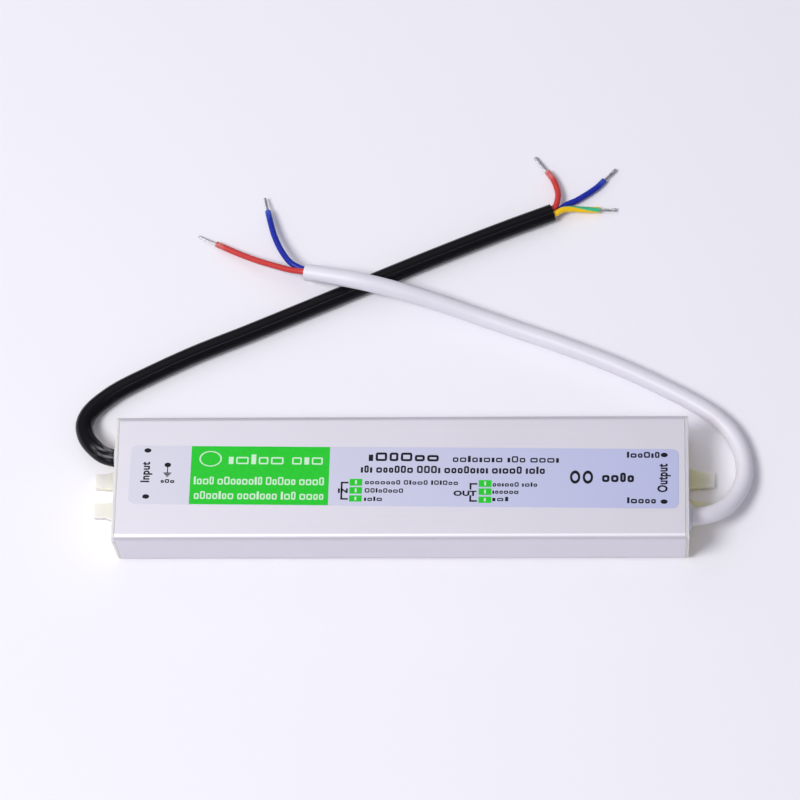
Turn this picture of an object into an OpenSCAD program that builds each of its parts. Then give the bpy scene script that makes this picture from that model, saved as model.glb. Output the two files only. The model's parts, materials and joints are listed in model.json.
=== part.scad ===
// Slim sealed lighting transformer: an extruded aluminium case with two moulded end caps,
// a potted circuit board inside and one flying lead at each end.
// Millimetres, +Z up. The origin is the middle of the case's underside, the mains lead
// leaves at -X and the low voltage lead at +X.

/* [Case] */
// Length of the extruded case between the end caps
case_l = 197.6; // [178:0.2:240]
// Width of the case
case_w = 46; // [43:0.5:60]
// Height of the case
case_h = 21; // [20.5:0.5:32]
// Wall of the extrusion
wall = 1.6; // [1.2:0.1:2]
// Radius of the long outside edges
edge_r = 2.25; // [1:0.25:3]
// Radius of the long inside corners
bore_r = 0.6; // [0.3:0.1:1]
// Depth of the ribs that hold the board
guide_d = 1.4; // [1:0.1:2]
// Thickness of one rib
guide_t = 1; // [0.8:0.1:1.4]

/* [End caps] */
// Thickness of the flange that covers the end of the case
flange_t = 1.2; // [0.8:0.1:3]
// Depth of the plug inside the case
plug_l = 6; // [4:0.5:10]
// Wall of the hollow plug
plug_wall = 1.4; // [1:0.1:2]
// Gap between the plug and the case
plug_gap = 0.1; // [0.05:0.05:0.3]
// Distance of the cable hole from the middle of the cap
cable_y = 11.2; // [8:0.1:12]
// Height of the cable hole above the base
cable_z = 10.5; // [9.6:0.1:12]
// Wall of the sleeve that holds the cable
sleeve_wall = 1.6; // [1.2:0.1:2]
// Height of the cone around the cable's exit
collar_h = 1.4; // [0.6:0.2:3]
// Wall of the cone at its top
collar_wall = 0.7; // [0.5:0.1:1.2]
// Wall of the cone at its foot
collar_foot = 2.2; // [1.4:0.1:3]

/* [Fixing forks] */
// Reach of the fork beyond the flange
fork_l = 9.3; // [7:0.1:14]
// Thickness of the fork
fork_t = 2.5; // [1.6:0.1:4]
// Width of the fork at its root
fork_root_w = 20; // [18:0.5:26]
// Width of the fork at its tips
fork_tip_w = 16.2; // [14:0.2:18]
// Length over which the fork tapers
fork_taper_l = 5.5; // [3:0.5:6.5]
// Width of the screw slot at its root
slot_root_w = 4.8; // [4.2:0.1:5.6]
// Width of the screw slot at its mouth
slot_mouth_w = 6; // [5.6:0.1:8]
// Radius in the corners of the slot's root
slot_r = 1.2; // [0.6:0.1:2]
// Web between the slot and the flange
slot_web = 0.6; // [0.4:0.1:2]

/* [Label] */
// Width of the rating label
label_w = 21.8; // [16:0.2:30]
// Thickness of the label film
label_t = 0.15; // [0.1:0.05:0.3]
// Radius of the label's corners
label_r = 2.3; // [1:0.1:4]
// Bare metal beside the label at the mains end
label_left = 4.3; // [2:0.1:10]
// Bare metal beside the label at the output end
label_right = 2.3; // [2:0.1:10]
// Angle by which the label was put on askew
label_turn = 0.64; // [0:0.01:1]

/* [Cables] */
// Diameter of the mains lead
input_d = 6.3; // [5.6:0.1:7]
// Diameter of the low voltage lead
output_d = 6.2; // [5.6:0.1:7]
// Diameter of one insulated core
core_d = 2.2; // [1.8:0.1:2.3]
// Diameter of a core's tinned conductor
strand_d = 0.9; // [0.7:0.1:1.2]
// Length of the bared conductor at a free end
bare_l = 6.4; // [4:0.2:9]
// How much more of a red core is bared
bare_more = 1.6; // [0:0.2:3]
// Length of lead inside the case
inside_l = 8; // [7:0.5:12]
// Gap around a cable in its hole
cable_gap = 0.05; // [0.03:0.01:0.2]
// Gap between cores inside a cable
core_gap = 0.1; // [0.05:0.05:0.2]

/* [Circuit board] */
// Thickness of the board
board_t = 1.6; // [1:0.2:2]
// Height of the board above the case's floor
under_board = 2.6; // [2.2:0.1:3]
// Gap between the board's edge and the case
board_gap = 0.2; // [0.1:0.1:0.5]
// Gap between the board and its guide ribs
rib_gap = 0.1; // [0.05:0.05:0.2]
// Gap between the board's end and a cap's plug
end_gap = 0.8; // [0.4:0.2:2]
// Thickness of the insulating sheet on the floor
sheet_t = 0.4; // [0.2:0.1:0.8]
// Length of pin below the board
tail_l = 1.2; // [0.8:0.1:1.6]
// Diameter of a component pin
pin_d = 0.8; // [0.6:0.1:1]
// Gap around a pin in the board
hole_gap = 0.1; // [0.05:0.05:0.2]
// Gap around a pin in its solder
solder_gap = 0.02; // [0.01:0.01:0.05]
// Diameter of a solder joint at the board
solder_d = 2; // [1.8:0.1:2.2]

/* [Components] */
// Gap between the tallest components and the lid of the case
head_gap = 1.1; // [0.5:0.1:2]
// Length of a mains reservoir capacitor
bulk_l = 25; // [20:1:26]
// Gap between the two mains reservoir capacitors
bulk_gap = 0.9; // [0.4:0.1:1.5]
// Gap between a reservoir capacitor and the rear edge of the board
bulk_edge = 1.85; // [1:0.05:2.5]
// Diameter of an output capacitor
can_d = 10; // [8:0.5:10]
// Gap between two output capacitors
can_gap = 1; // [0.5:0.1:2]
// How much lower an output capacitor stands than the tallest component
can_drop = 0.3; // [0:0.1:2]
// Width of the transformer's core
core_w = 25; // [22:0.5:28]
// Length of one half of the transformer's core
core_l = 12.5; // [11:0.5:13]
// Room for the windings above and below the transformer's core
wind_room = 2.3; // [1.8:0.1:2.6]
// How much lower the transformer's bobbin stands than the tallest component
bobbin_drop = 0.6; // [0.2:0.1:2]
// Outside diameter of the wound mains filter choke
choke_d = 17; // [14:0.5:17]
// Height of the wound mains filter choke
choke_h = 9; // [7:0.5:11]
// How much lower a power transistor stands than the tallest component
pack_drop = 0.8; // [0.4:0.1:2]
// Thickness of the insulating pad behind a power transistor
pad_t = 0.5; // [0.3:0.1:0.8]
// How much lower the boxed filter capacitor stands than the tallest component
box_drop = 0.7; // [0.2:0.1:2]
// How much lower the bridge rectifier stands than the tallest component
bridge_drop = 1.2; // [0.4:0.1:3]
// How much lower the output choke stands than the tallest component
drum_drop = 1.5; // [0.4:0.1:3]

/* [Hidden] */
$fn = 48;
eps = 0.01;

// The case and what lies in it
case_end = case_l / 2;
inner_y = case_w / 2 - wall;
inner_top = case_h - wall;
board_l = case_l - 2 * (plug_l + end_gap);
board_w = 2 * (inner_y - board_gap);
board_z = wall + under_board;
board_top = board_z + board_t;
plug_end = case_end - plug_l;
jacket_end = case_end - inside_l;
guide_top = board_top + rib_gap + guide_t;
face_x = case_end + flange_t;

// Stations on the board, from its mains end, its output end, its front and its rear edge
function from_in(u) = -board_l / 2 + u;
function from_out(w) = board_l / 2 - w;
function from_front(v) = -board_w / 2 + v;
function from_rear(v) = board_w / 2 - v;

// Heights of the tall components, from the room between the board and the lid
lift = 0.3;
tallest = inner_top - board_top - head_gap;
bulk_d = tallest;
can_h = tallest - can_drop;
bobbin_h = tallest - lift - bobbin_drop;
core_h = bobbin_h - 2 * wind_room;
pack_w = tallest - (guide_top - board_top) - 2 * lift - pack_drop;
xcap_h = tallest - box_drop;
bridge_h = tallest - lift - bridge_drop;
drum_h = tallest - drum_drop;

// Stations of the components
fuse_at = [from_in(15), from_front(7.7)];
fuse_l = 15;
fuse_d = 5.2;
fuse_cap_l = 4;
fuse_step = 0.3;
varistor_at = [from_in(16), fuse_at[1] + 10];
varistor_d = 10;
varistor_t = 4.2;
xcap_at = [from_in(21.5), from_rear(9.7)];
xcap_size = [18, 9, xcap_h];
choke_at = [from_in(36.5), from_front(11.5)];
choke_wire = 2;
bulk_rear = from_rear(bulk_edge + bulk_d / 2);
bulk_at = [[from_in(35), bulk_rear], [from_in(48.5), bulk_rear - bulk_d - bulk_gap]];
bulk_pitch = 5;
bulk_lead = 1.8;
bridge_gap = 4.45;
bridge_size = [15, 4, bridge_h];
bridge_at = [from_in(55), bulk_at[1][1] - (bulk_d + bridge_size[1]) / 2 - bridge_gap];
bridge_pitch = 3.8;
chip_at = [from_in(69), from_front(7.7)];
resistor_at = [for (i = [0:2]) for (j = [0:1])
    [from_in(64 + 4.5 * i), from_rear(12.1) + 3.4 * j]];
diode_at = [for (i = [0:3]) [from_in(82), from_front(6.7) + 6 * i]];
switch_x = from_in(64);
opto_at = [from_out(70), from_front(8.7)];
ycap_at = [from_out(70), from_rear(11.7)];
ycap_d = 8;
ycap_t = 4.5;
former_at = [from_out(51), 0];
rectifier_x = -from_out(12);
can_x = 6;
can_edge = 3.2;
can_rear = from_rear(can_edge + can_d / 2);
can_pitch = can_d + can_gap;
can_at = [for (p = [[0, 0], [1, 0], [0, 1]])
    [from_out(can_x + can_d / 2 + p[0] * can_pitch), can_rear - p[1] * can_pitch]];
drum_d = 11;
drum_gap = 1.5;
drum_at = [from_out(23), can_rear - (can_d + drum_d) / 2 - drum_gap];

// A power transistor lies on edge against the wall, its leads bent down one after another
pack_z = guide_top + lift;
pack_l = 15.5;
pack_t = 4.5;
tab_t = 1.3;
mould_l = 9.2;
leg_t = 0.7;
leg_pitch = 2.54;
leg_y = inner_y - pad_t - 2.6;
leg_step = 2.5;

// The transformer
former_z = board_top + lift + bobbin_h / 2;
leg_w = 3.4;
back_l = 4;
centre_w = 7;
tube_wall = 0.9;
fit_gap = 0.1;
window_l = core_l - back_l;
flange_in = window_l - tube_wall - fit_gap;
window_y = core_w / 2 - leg_w;
rail_l = 4.2;

// Pins as [x, y, radius]
pin_r = pin_d / 2;
function pair(at, dx, dy) = [for (s = [-1, 1]) [at[0] + s * dx, at[1] + s * dy, pin_r]];
fuse_pins = pair(fuse_at, fuse_l / 2 + 1.5, 0);
varistor_pins = pair(varistor_at, 2.5, 0);
xcap_pins = pair(xcap_at, 7.5, 0);
choke_pins = [for (sx = [-1, 1]) for (sy = [-1, 1])
    [choke_at[0] + sx * choke_d * 0.3, choke_at[1] + sy * choke_d * 0.3, pin_r]];
bulk_pins = [for (at = bulk_at) for (s = [-1, 1])
    [at[0] - bulk_lead, at[1] + s * bulk_pitch / 2, pin_r]];
bridge_pins = [for (i = [-1.5:1:1.5]) [bridge_at[0] + i * bridge_pitch, bridge_at[1], pin_r]];
switch_pins = [for (i = [0:2]) [switch_x + pack_l + leg_step * (i + 1), leg_y, pin_r]];
rectifier_pins = [for (i = [0:2]) [-rectifier_x - pack_l - leg_step * (i + 1), -leg_y, pin_r]];
former_pins = [for (sx = [-1, 1]) for (j = [-1.5:1:1.5])
    [former_at[0] + sx * (window_l + rail_l / 2 - tube_wall), former_at[1] + j * 6, pin_r]];
ycap_pins = pair(ycap_at, 0, 3);
opto_pins = [for (sx = [-1, 1]) for (sy = [-1, 1])
    [opto_at[0] + sx * 1.27, opto_at[1] + sy * 3.81, pin_r]];
diode_pins = [for (at = diode_at) each pair(at, 5, 0)];
can_pins = [for (at = can_at) each pair(at, 0, 2.5)];
drum_pins = pair(drum_at, 2.5, 0);

// Cores in a cable, as offsets across and up
lay_3 = (core_d + core_gap) / sqrt(3);
lay_2 = (core_d + core_gap) / 2;
three_cores = [[-lay_2, -lay_3 / 2], [lay_2, -lay_3 / 2], [0, lay_3]];
two_cores = [[-lay_2, 0], [lay_2, 0]];
drop_near = 4;
drop_far = 7.5;
three_drops = [drop_near, drop_near, drop_far];
three_pads = [for (i = [0:2])
    [from_in(three_drops[i]), cable_y + three_cores[i][0], strand_d / 2]];
two_pads = [for (c = two_cores) [from_out(drop_near), -cable_y - c[0], strand_d / 2]];

ALL_PINS = concat(
    fuse_pins, varistor_pins, xcap_pins, choke_pins, bulk_pins, bridge_pins, switch_pins,
    rectifier_pins, former_pins, ycap_pins, opto_pins, diode_pins, can_pins, drum_pins,
    three_pads, two_pads
);

// Route of the mains lead, from inside its cap to its cut end
in_r = input_d / 2;
input_route = [
    [-jacket_end, cable_y, cable_z], [-face_x - collar_h, cable_y, cable_z],
    [-105.6, 12.6, 10.1], [-108.9, 15.4, 9], [-111.7, 18.9, 7.4], [-113.4, 22.6, 5.8],
    [-114, 26.4, 4.6], [-113.1, 30, 3.7], [-110.8, 33.3, 3.3], [-107.6, 36.3, in_r],
    [-102.4, 40.1, in_r], [-91.9, 45.8, in_r], [-75.9, 53.7, in_r], [-56.9, 61.8, in_r],
    [-39.9, 69.3, in_r], [-21.9, 77.3, in_r], [-2, 86.2, in_r], [16, 94, in_r],
    [33.9, 101.5, in_r], [52.2, 108.7, in_r]
];

// Route of the low voltage lead, which crosses over the mains lead near its cut end
out_r = output_d / 2;
output_route = [
    [jacket_end, -cable_y, cable_z], [face_x + collar_h, -cable_y, cable_z],
    [105.1, -10.7, 10.2], [109.4, -9.1, 9], [113.3, -6.2, 7.6], [116.7, -1.7, 6],
    [119.2, 4, 4.6], [119.8, 9.9, 3.6], [118.7, 16.1, out_r], [115.7, 22.5, out_r],
    [110.4, 28.4, out_r], [102.8, 33.9, out_r], [90.8, 40.7, out_r], [74.7, 48.8, out_r],
    [56.6, 56.4, out_r], [40.5, 62.4, 3.2], [25.5, 67.8, 3.9], [10.5, 72.7, 5.9],
    [-4.5, 76.6, 8.2], [-17.6, 79.5, 9.5], [-27.7, 81.7, 8.9], [-36.3, 83.7, 7.6]
];

// A point on the cut face of a cable, and one straight ahead of it
function unit(v) = v / norm(v);
function tangent(p, i) =
    unit(i == 0 ? p[1] - p[0] : i == len(p) - 1 ? p[i] - p[i - 1] : p[i + 1] - p[i - 1]);
function across(t) = unit(cross([0, 0, 1], t));
function last(p) = p[len(p) - 1];
function heading(p) = tangent(p, len(p) - 1);
function cut_point(p, a, b) =
    let (t = heading(p), s = across(t)) last(p) + a * s + b * cross(t, s);
function core_from(p, a, b, ahead, rest) =
    concat([cut_point(p, a, b), cut_point(p, a, b) + ahead * heading(p)], rest);

input_live_route = core_from(input_route, lay_2, lay_3 / 2, 1.2,
    [[53.9, 112.7, 3.7], [54.2, 116.1, 3.2], [53.5, 119.4, 2.6], [52.2, 122.7, 2.1],
     [50.2, 125.6, 1.7]]);
input_neutral_route = core_from(input_route, 0, -lay_3, 1.2,
    [[57, 112.2, 1.7], [60.8, 114.1, 1.5], [64.8, 116.7, 1.4], [68.3, 119.4, 1.3],
     [71, 122.2, 1.2]]);
input_earth_route = core_from(input_route, -lay_2, lay_3 / 2, 1.2,
    [[55.6, 109.3, 3.7], [58.7, 110.1, 3], [62.3, 110.2, 2.2], [65.9, 110.3, 1.6],
     [69.3, 110.4, 1.3]]);
output_positive_route = core_from(output_route, 0.43, 1.15, 1.5,
    [[-42.3, 84.9, 7.2], [-48.5, 87.4, 5.6], [-54.7, 90.1, 4], [-61, 93.2, 2.6],
     [-69.8, 97.8, 1.4]]);
output_negative_route = core_from(output_route, -1.22, -0.4, 1.5,
    [[-41.9, 87.7, 7], [-45.4, 92.6, 6.2], [-48.4, 99.3, 5], [-50.4, 106.2, 3.9],
     [-51.3, 109.9, 3.2]]);

// Rounded rectangle from plain squares and circles
module rounded(w, h, r) {
    square([w - 2 * r, h], center = true);
    square([w, h - 2 * r], center = true);
    for (x = [-1, 1], y = [-1, 1])
        translate([x * (w / 2 - r), y * (h / 2 - r)]) circle(r);
}

// Stretches a profile drawn in Y and Z along X
module along_x(x, l) {
    translate([x, 0, 0]) rotate([90, 0, 90]) linear_extrude(height = l) children();
}

module turned() {
    rotate([0, 0, 180]) children();
}

module ribs(gap) {
    for (s = [-1, 1], z = [board_z - rib_gap - guide_t, board_top + rib_gap])
        translate([s > 0 ? inner_y - guide_d - gap : -inner_y, z - gap])
            square([guide_d + gap, guide_t + 2 * gap]);
}

module case_outline() {
    translate([0, case_h / 2]) rounded(case_w, case_h, edge_r);
}

// The bore of the extrusion with the ribs standing in it
module case_bore() {
    difference() {
        translate([0, case_h / 2]) rounded(2 * inner_y, case_h - 2 * wall, bore_r);
        ribs(0);
    }
}

module aluminium_case() {
    color("gainsboro") difference() {
        along_x(-case_end, case_l) case_outline();
        along_x(-case_end - 1, case_l + 2) case_bore();
    }
}

// End caps
module plug_outline() {
    difference() {
        translate([0, case_h / 2])
            rounded(2 * (inner_y - plug_gap), case_h - 2 * (wall + plug_gap), bore_r);
        for (s = [-1, 1])
            translate([s > 0 ? inner_y - guide_d - plug_gap : -inner_y,
                       board_z - rib_gap - guide_t - plug_gap])
                square([guide_d + plug_gap, 2 * (guide_t + rib_gap + plug_gap) + board_t]);
    }
}

// The hollow inside the plug: square, and clear of the notches for the ribs
module plug_hollow() {
    inset = plug_gap + guide_d + plug_wall;
    translate([0, case_h / 2])
        square([2 * (inner_y - inset), case_h - 2 * (wall + plug_gap + plug_wall)], center = true);
}

module at_cable(x, side) {
    translate([x, side * cable_y, cable_z]) rotate([0, 90, 0]) children();
}

module slot_outline() {
    x0 = face_x + slot_web;
    half = slot_root_w / 2;
    polygon([
        [x0 + slot_r, -half], [face_x + fork_l + 1, -slot_mouth_w / 2],
        [face_x + fork_l + 1, slot_mouth_w / 2], [x0 + slot_r, half]
    ]);
    translate([x0, -half + slot_r]) square([slot_r + eps, slot_root_w - 2 * slot_r]);
    for (s = [-1, 1]) translate([x0 + slot_r, s * (half - slot_r)]) circle(slot_r);
}

module fork() {
    linear_extrude(height = fork_t) difference() {
        polygon([
            [case_end, -fork_root_w / 2], [face_x, -fork_root_w / 2],
            [face_x + fork_taper_l, -fork_tip_w / 2], [face_x + fork_l, -fork_tip_w / 2],
            [face_x + fork_l, fork_tip_w / 2], [face_x + fork_taper_l, fork_tip_w / 2],
            [face_x, fork_root_w / 2], [case_end, fork_root_w / 2]
        ]);
        slot_outline();
    }
}

// One moulding serves both ends: here it stands at +X with its cable hole at -Y
module end_cap(cable_d) {
    hole_r = cable_d / 2 + cable_gap;
    difference() {
        union() {
            along_x(case_end, flange_t) case_outline();
            difference() {
                along_x(plug_end, plug_l + eps) plug_outline();
                along_x(plug_end - 1, plug_l + 1) plug_hollow();
            }
            at_cable(plug_end, -1) cylinder(h = plug_l + eps, r = hole_r + sleeve_wall);
            at_cable(face_x, -1)
                cylinder(h = collar_h, r1 = hole_r + collar_foot, r2 = hole_r + collar_wall);
            fork();
        }
        at_cable(plug_end - 1, -1) cylinder(h = plug_l + flange_t + collar_h + 2, r = hole_r);
    }
}

module input_end_cap() {
    color("ivory") turned() end_cap(input_d);
}

module output_end_cap() {
    color("ivory") end_cap(output_d);
}

module rating_label() {
    label_l = case_l - label_left - label_right;
    color("lavender")
        translate([(label_left - label_right) / 2, 0, case_h]) rotate([0, 0, -label_turn])
            linear_extrude(height = label_t) rounded(label_l, label_w, label_r);
}

// Cables: one closed tube swept along a route
function ring(c, t, r, n) =
    let (s = across(t), u = cross(t, s))
    [for (k = [0:n - 1]) c + r * cos(360 * k / n) * s + r * sin(360 * k / n) * u];

module tube(route, d, n) {
    last_ring = len(route) - 1;
    points = [for (i = [0:last_ring]) each ring(route[i], tangent(route, i), d / 2, n)];
    skin = [for (i = [0:last_ring - 1]) for (k = [0:n - 1])
        let (a = i * n + k, b = i * n + (k + 1) % n) each [[a, a + n, b + n], [a, b + n, b]]];
    near = [[for (k = [0:n - 1]) k]];
    far = [[for (k = [n - 1:-1:0]) last_ring * n + k]];
    polyhedron(points = points, faces = concat(near, skin, far), convexity = 6);
}

module input_cable() {
    color("black") tube(input_route, input_d, 12);
}

module output_cable() {
    color("whitesmoke") tube(output_route, output_d, 12);
}

module input_live_core() {
    color("red") tube(input_live_route, core_d, 8);
}

module input_neutral_core() {
    color("blue") tube(input_neutral_route, core_d, 8);
}

module input_earth_core() {
    color("yellow") tube(input_earth_route, core_d, 8);
}

module output_positive_core() {
    color("red") tube(output_positive_route, core_d, 8);
}

module output_negative_core() {
    color("blue") tube(output_negative_route, core_d, 8);
}

// Bared conductors at the free ends, and the same conductors where they meet the board
module bared(route, more = 0) {
    tube([last(route), last(route) + (bare_l + more) * heading(route)], strand_d, 8);
}

module pin(p, top) {
    translate([p[0], p[1], board_z - tail_l]) cylinder(h = top - board_z + tail_l, r = p[2]);
}

module input_conductors() {
    color("silver") {
        bared(input_live_route, bare_more);
        for (route = [input_neutral_route, input_earth_route]) bared(route);
        for (p = three_pads) pin(p, board_top);
    }
}

module output_conductors() {
    color("silver") {
        bared(output_positive_route, bare_more);
        bared(output_negative_route);
        for (p = two_pads) pin(p, board_top);
    }
}

// A core inside the case: straight out of the jacket, then down to the board.
// Drawn at the mains end.
module inner_lead(core, drop) {
    x = from_in(drop);
    y = cable_y + core[0];
    z = cable_z + core[1];
    r = core_d / 2;
    translate([-jacket_end, y, z]) rotate([0, 90, 0]) cylinder(h = x + jacket_end, r = r);
    translate([x, y, z]) sphere(r);
    translate([x, y, board_top]) cylinder(h = z - board_top, r = r);
}

module input_live_lead() {
    color("red") inner_lead(three_cores[0], three_drops[0]);
}

module input_neutral_lead() {
    color("blue") inner_lead(three_cores[1], three_drops[1]);
}

module input_earth_lead() {
    color("yellow") inner_lead(three_cores[2], three_drops[2]);
}

module output_positive_lead() {
    color("red") turned() inner_lead(two_cores[0], drop_near);
}

module output_negative_lead() {
    color("blue") turned() inner_lead(two_cores[1], drop_near);
}

// Board
module circuit_board() {
    color("darkgreen") difference() {
        translate([-board_l / 2, -board_w / 2, board_z]) cube([board_l, board_w, board_t]);
        for (p = ALL_PINS)
            translate([p[0], p[1], board_z - 1]) cylinder(h = board_t + 2, r = p[2] + hole_gap);
    }
}

module solder_joints() {
    color("silver") for (p = ALL_PINS)
        translate([p[0], p[1], board_z - tail_l]) difference() {
            cylinder(h = tail_l, r1 = solder_d * 0.3, r2 = solder_d / 2);
            translate([0, 0, -1]) cylinder(h = tail_l + 2, r = p[2] + solder_gap);
        }
}

module insulating_sheet() {
    sheet_w = board_w - 2 * guide_d;
    color("khaki") translate([-board_l / 2, -sheet_w / 2, wall]) cube([board_l, sheet_w, sheet_t]);
}

// Through-hole pins from a component down past the board
module pins(list, top) {
    for (p = list) pin(p, top);
}

module block(at, size, z) {
    translate([at[0], at[1], z]) linear_extrude(height = size[2]) rounded(size[0], size[1], 0.6);
}

module input_fuse() {
    z = board_top + lift + fuse_d / 2;
    color("bisque") {
        translate([fuse_at[0] - fuse_l / 2, fuse_at[1], z]) rotate([0, 90, 0]) {
            cylinder(h = fuse_l, r = fuse_d / 2 - fuse_step);
            for (x = [0, fuse_l - fuse_cap_l])
                translate([0, 0, x]) cylinder(h = fuse_cap_l, r = fuse_d / 2);
            translate([0, 0, -1.5 - pin_r]) cylinder(h = fuse_l + 3 + pin_d, r = pin_r);
        }
        pins(fuse_pins, z);
    }
}

module upright_disc(at, d, t, turn) {
    translate([at[0], at[1], board_top + lift + d / 2]) rotate([0, 0, turn]) rotate([90, 0, 0])
        rotate_extrude() difference() {
            translate([0, -t / 2]) square([d / 2, t]);
            for (s = [-1, 1]) translate([d / 2, s * t / 2]) rotate(45) square(1.4, center = true);
        }
}

module surge_varistor() {
    color("royalblue") {
        upright_disc(varistor_at, varistor_d, varistor_t, 0);
        pins(varistor_pins, board_top + lift + varistor_d / 2);
    }
}

module safety_capacitor() {
    color("steelblue") {
        upright_disc(ycap_at, ycap_d, ycap_t, 90);
        pins(ycap_pins, board_top + lift + ycap_d / 2);
    }
}

module filter_capacitor() {
    color("gold") {
        block(xcap_at, xcap_size, board_top);
        pins(xcap_pins, board_top + 1);
    }
}

// Mains filter choke: a flat ring with two windings, each over a third of it
choke_mid_r = choke_d / 2 - choke_wire - (choke_d / 2 - 2 * choke_wire) / 4;
choke_half = (choke_d / 2 - 2 * choke_wire) / 4;

module choke_ring(grow, h) {
    translate([choke_at[0], choke_at[1], board_top + choke_h / 2])
        rotate_extrude() translate([choke_mid_r, 0])
            square([2 * (choke_half + grow), h], center = true);
}

module filter_choke_core() {
    color("dimgray") choke_ring(0, choke_h - 2 * choke_wire);
}

module filter_choke_windings() {
    reach = choke_d;
    color("peru") {
        difference() {
            choke_ring(choke_wire, choke_h);
            choke_ring(0, choke_h - 2 * choke_wire);
            for (s = [0, 180])
                translate([choke_at[0], choke_at[1], board_top - 1]) rotate([0, 0, s])
                    linear_extrude(height = choke_h + 2)
                        polygon([[0, 0], [reach, -reach * 0.36], [reach, reach * 0.36]]);
        }
        pins(choke_pins, board_top + choke_wire / 2);
    }
}

module bridge_rectifier() {
    w = bridge_size[0];
    h = bridge_size[2];
    color("dimgray") {
        translate([bridge_at[0], bridge_at[1] + bridge_size[1] / 2, board_top + lift])
            rotate([90, 0, 0]) linear_extrude(height = bridge_size[1])
                polygon([[-w / 2, 0], [w / 2, 0], [w / 2, h - 2.5], [w / 2 - 2.5, h], [-w / 2, h]]);
        pins(bridge_pins, board_top + lift + 1);
    }
}

// An electrolytic can, standing on its rubber end, with the crimp above it
can_lip = 0.5;
crimp_z = 1.8;
crimp_t = 0.4;

module can(d, h) {
    r = d / 2;
    top = crimp_z + can_lip + crimp_t;
    rotate_extrude() polygon([
        [0, 0], [r - can_lip, 0], [r, can_lip], [r, crimp_z], [r - can_lip, crimp_z + can_lip],
        [r - can_lip, top], [r, top + can_lip], [r, h - can_lip], [r - can_lip, h], [0, h]
    ]);
}

module bulk_capacitors() {
    z = board_top + bulk_d / 2;
    color("darkslategray") {
        for (at = bulk_at) {
            translate([at[0], at[1], z]) rotate([0, 90, 0]) can(bulk_d, bulk_l);
            for (s = [-1, 1])
                translate([at[0] - bulk_lead - pin_r, at[1] + s * bulk_pitch / 2, z])
                    rotate([0, 90, 0]) cylinder(h = bulk_lead + pin_r + 0.6, r = pin_r);
        }
        pins(bulk_pins, z);
    }
}

module output_capacitors() {
    color("darkslateblue") {
        for (at = can_at) translate([at[0], at[1], board_top]) can(can_d, can_h);
        pins(can_pins, board_top + 1);
    }
}

// Power transistor at +Y, its leads towards +X
module power_package(x) {
    y = inner_y - pad_t;
    translate([x, y - tab_t, pack_z]) difference() {
        cube([pack_l, tab_t, pack_w]);
        translate([3, -1, pack_w / 2]) rotate([-90, 0, 0]) cylinder(h = tab_t + 2, d = 3.6);
    }
    translate([x + pack_l - mould_l, y - pack_t, pack_z]) cube([mould_l, pack_t - tab_t + eps, pack_w]);
    for (i = [0:2]) {
        z = pack_z + pack_w / 2 + (i - 1) * leg_pitch;
        end_x = x + pack_l + leg_step * (i + 1);
        translate([x + pack_l - 1, leg_y - leg_t / 2, z - leg_t / 2])
            cube([end_x - x - pack_l + 1 + leg_t / 2, leg_t, leg_t]);
        translate([end_x - leg_t / 2, leg_y - leg_t / 2, board_top])
            cube([leg_t, leg_t, z + leg_t / 2 - board_top]);
    }
}

module wall_pad(x) {
    translate([x - 1, inner_y - pad_t, guide_top]) cube([pack_l + 1.5, pad_t, pack_w + 2 * lift]);
}

module switching_transistor() {
    color("darkgray") {
        power_package(switch_x);
        pins(switch_pins, board_top + lift);
    }
}

module output_rectifier() {
    color("darkgray") {
        turned() power_package(rectifier_x);
        pins(rectifier_pins, board_top + lift);
    }
}

module transistor_pad() {
    color("lightgray") wall_pad(switch_x);
}

module rectifier_pad() {
    color("lightgray") turned() wall_pad(rectifier_x);
}

// Transformer: two E halves of ferrite meet in the middle of a bobbin with a pin rail at each end
module core_half() {
    translate([0, 0, -core_h / 2]) linear_extrude(height = core_h) {
        translate([window_l, -core_w / 2]) square([back_l, core_w]);
        for (s = [-1, 1])
            translate([0, s > 0 ? window_y : -core_w / 2]) square([core_l, leg_w]);
        translate([0, -centre_w / 2]) square([core_l, centre_w]);
    }
}

module at_former() {
    translate([former_at[0], former_at[1], former_z]) children();
}

module transformer_core_halves() {
    color("darkslategray") at_former() {
        translate([fit_gap / 2, 0, 0]) core_half();
        turned() translate([fit_gap / 2, 0, 0]) core_half();
    }
}

module transformer_bobbin() {
    tube_y = centre_w + 2 * (fit_gap + tube_wall);
    tube_z = core_h + 2 * (fit_gap + tube_wall);
    flange_y = 2 * (window_y - fit_gap);
    rail_h = bobbin_h / 2 - core_h / 2 - fit_gap;
    color("tan") {
        at_former() difference() {
            union() {
                along_x(-flange_in - tube_wall, 2 * (flange_in + tube_wall))
                    square([tube_y, tube_z], center = true);
                for (s = [-1, 1])
                    along_x(s > 0 ? flange_in : -flange_in - tube_wall, tube_wall)
                        square([flange_y, bobbin_h], center = true);
                for (s = [-1, 1])
                    translate([s > 0 ? flange_in : -flange_in - rail_l, -core_w / 2 + 0.5,
                               -bobbin_h / 2 - lift])
                        cube([rail_l, core_w - 1, rail_h + lift]);
            }
            along_x(-core_l, 2 * core_l)
                square([centre_w + 2 * fit_gap, core_h + 2 * fit_gap], center = true);
        }
        pins(former_pins, board_top + 1);
    }
}

module transformer_winding() {
    color("gold") at_former() difference() {
        along_x(-flange_in, 2 * flange_in)
            rounded(2 * (window_y - fit_gap) - 1, bobbin_h - 1, 1.6);
        along_x(-flange_in - 1, 2 * flange_in + 2)
            square([centre_w, core_h] + 2 * (fit_gap + tube_wall) * [1, 1], center = true);
    }
}

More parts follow.
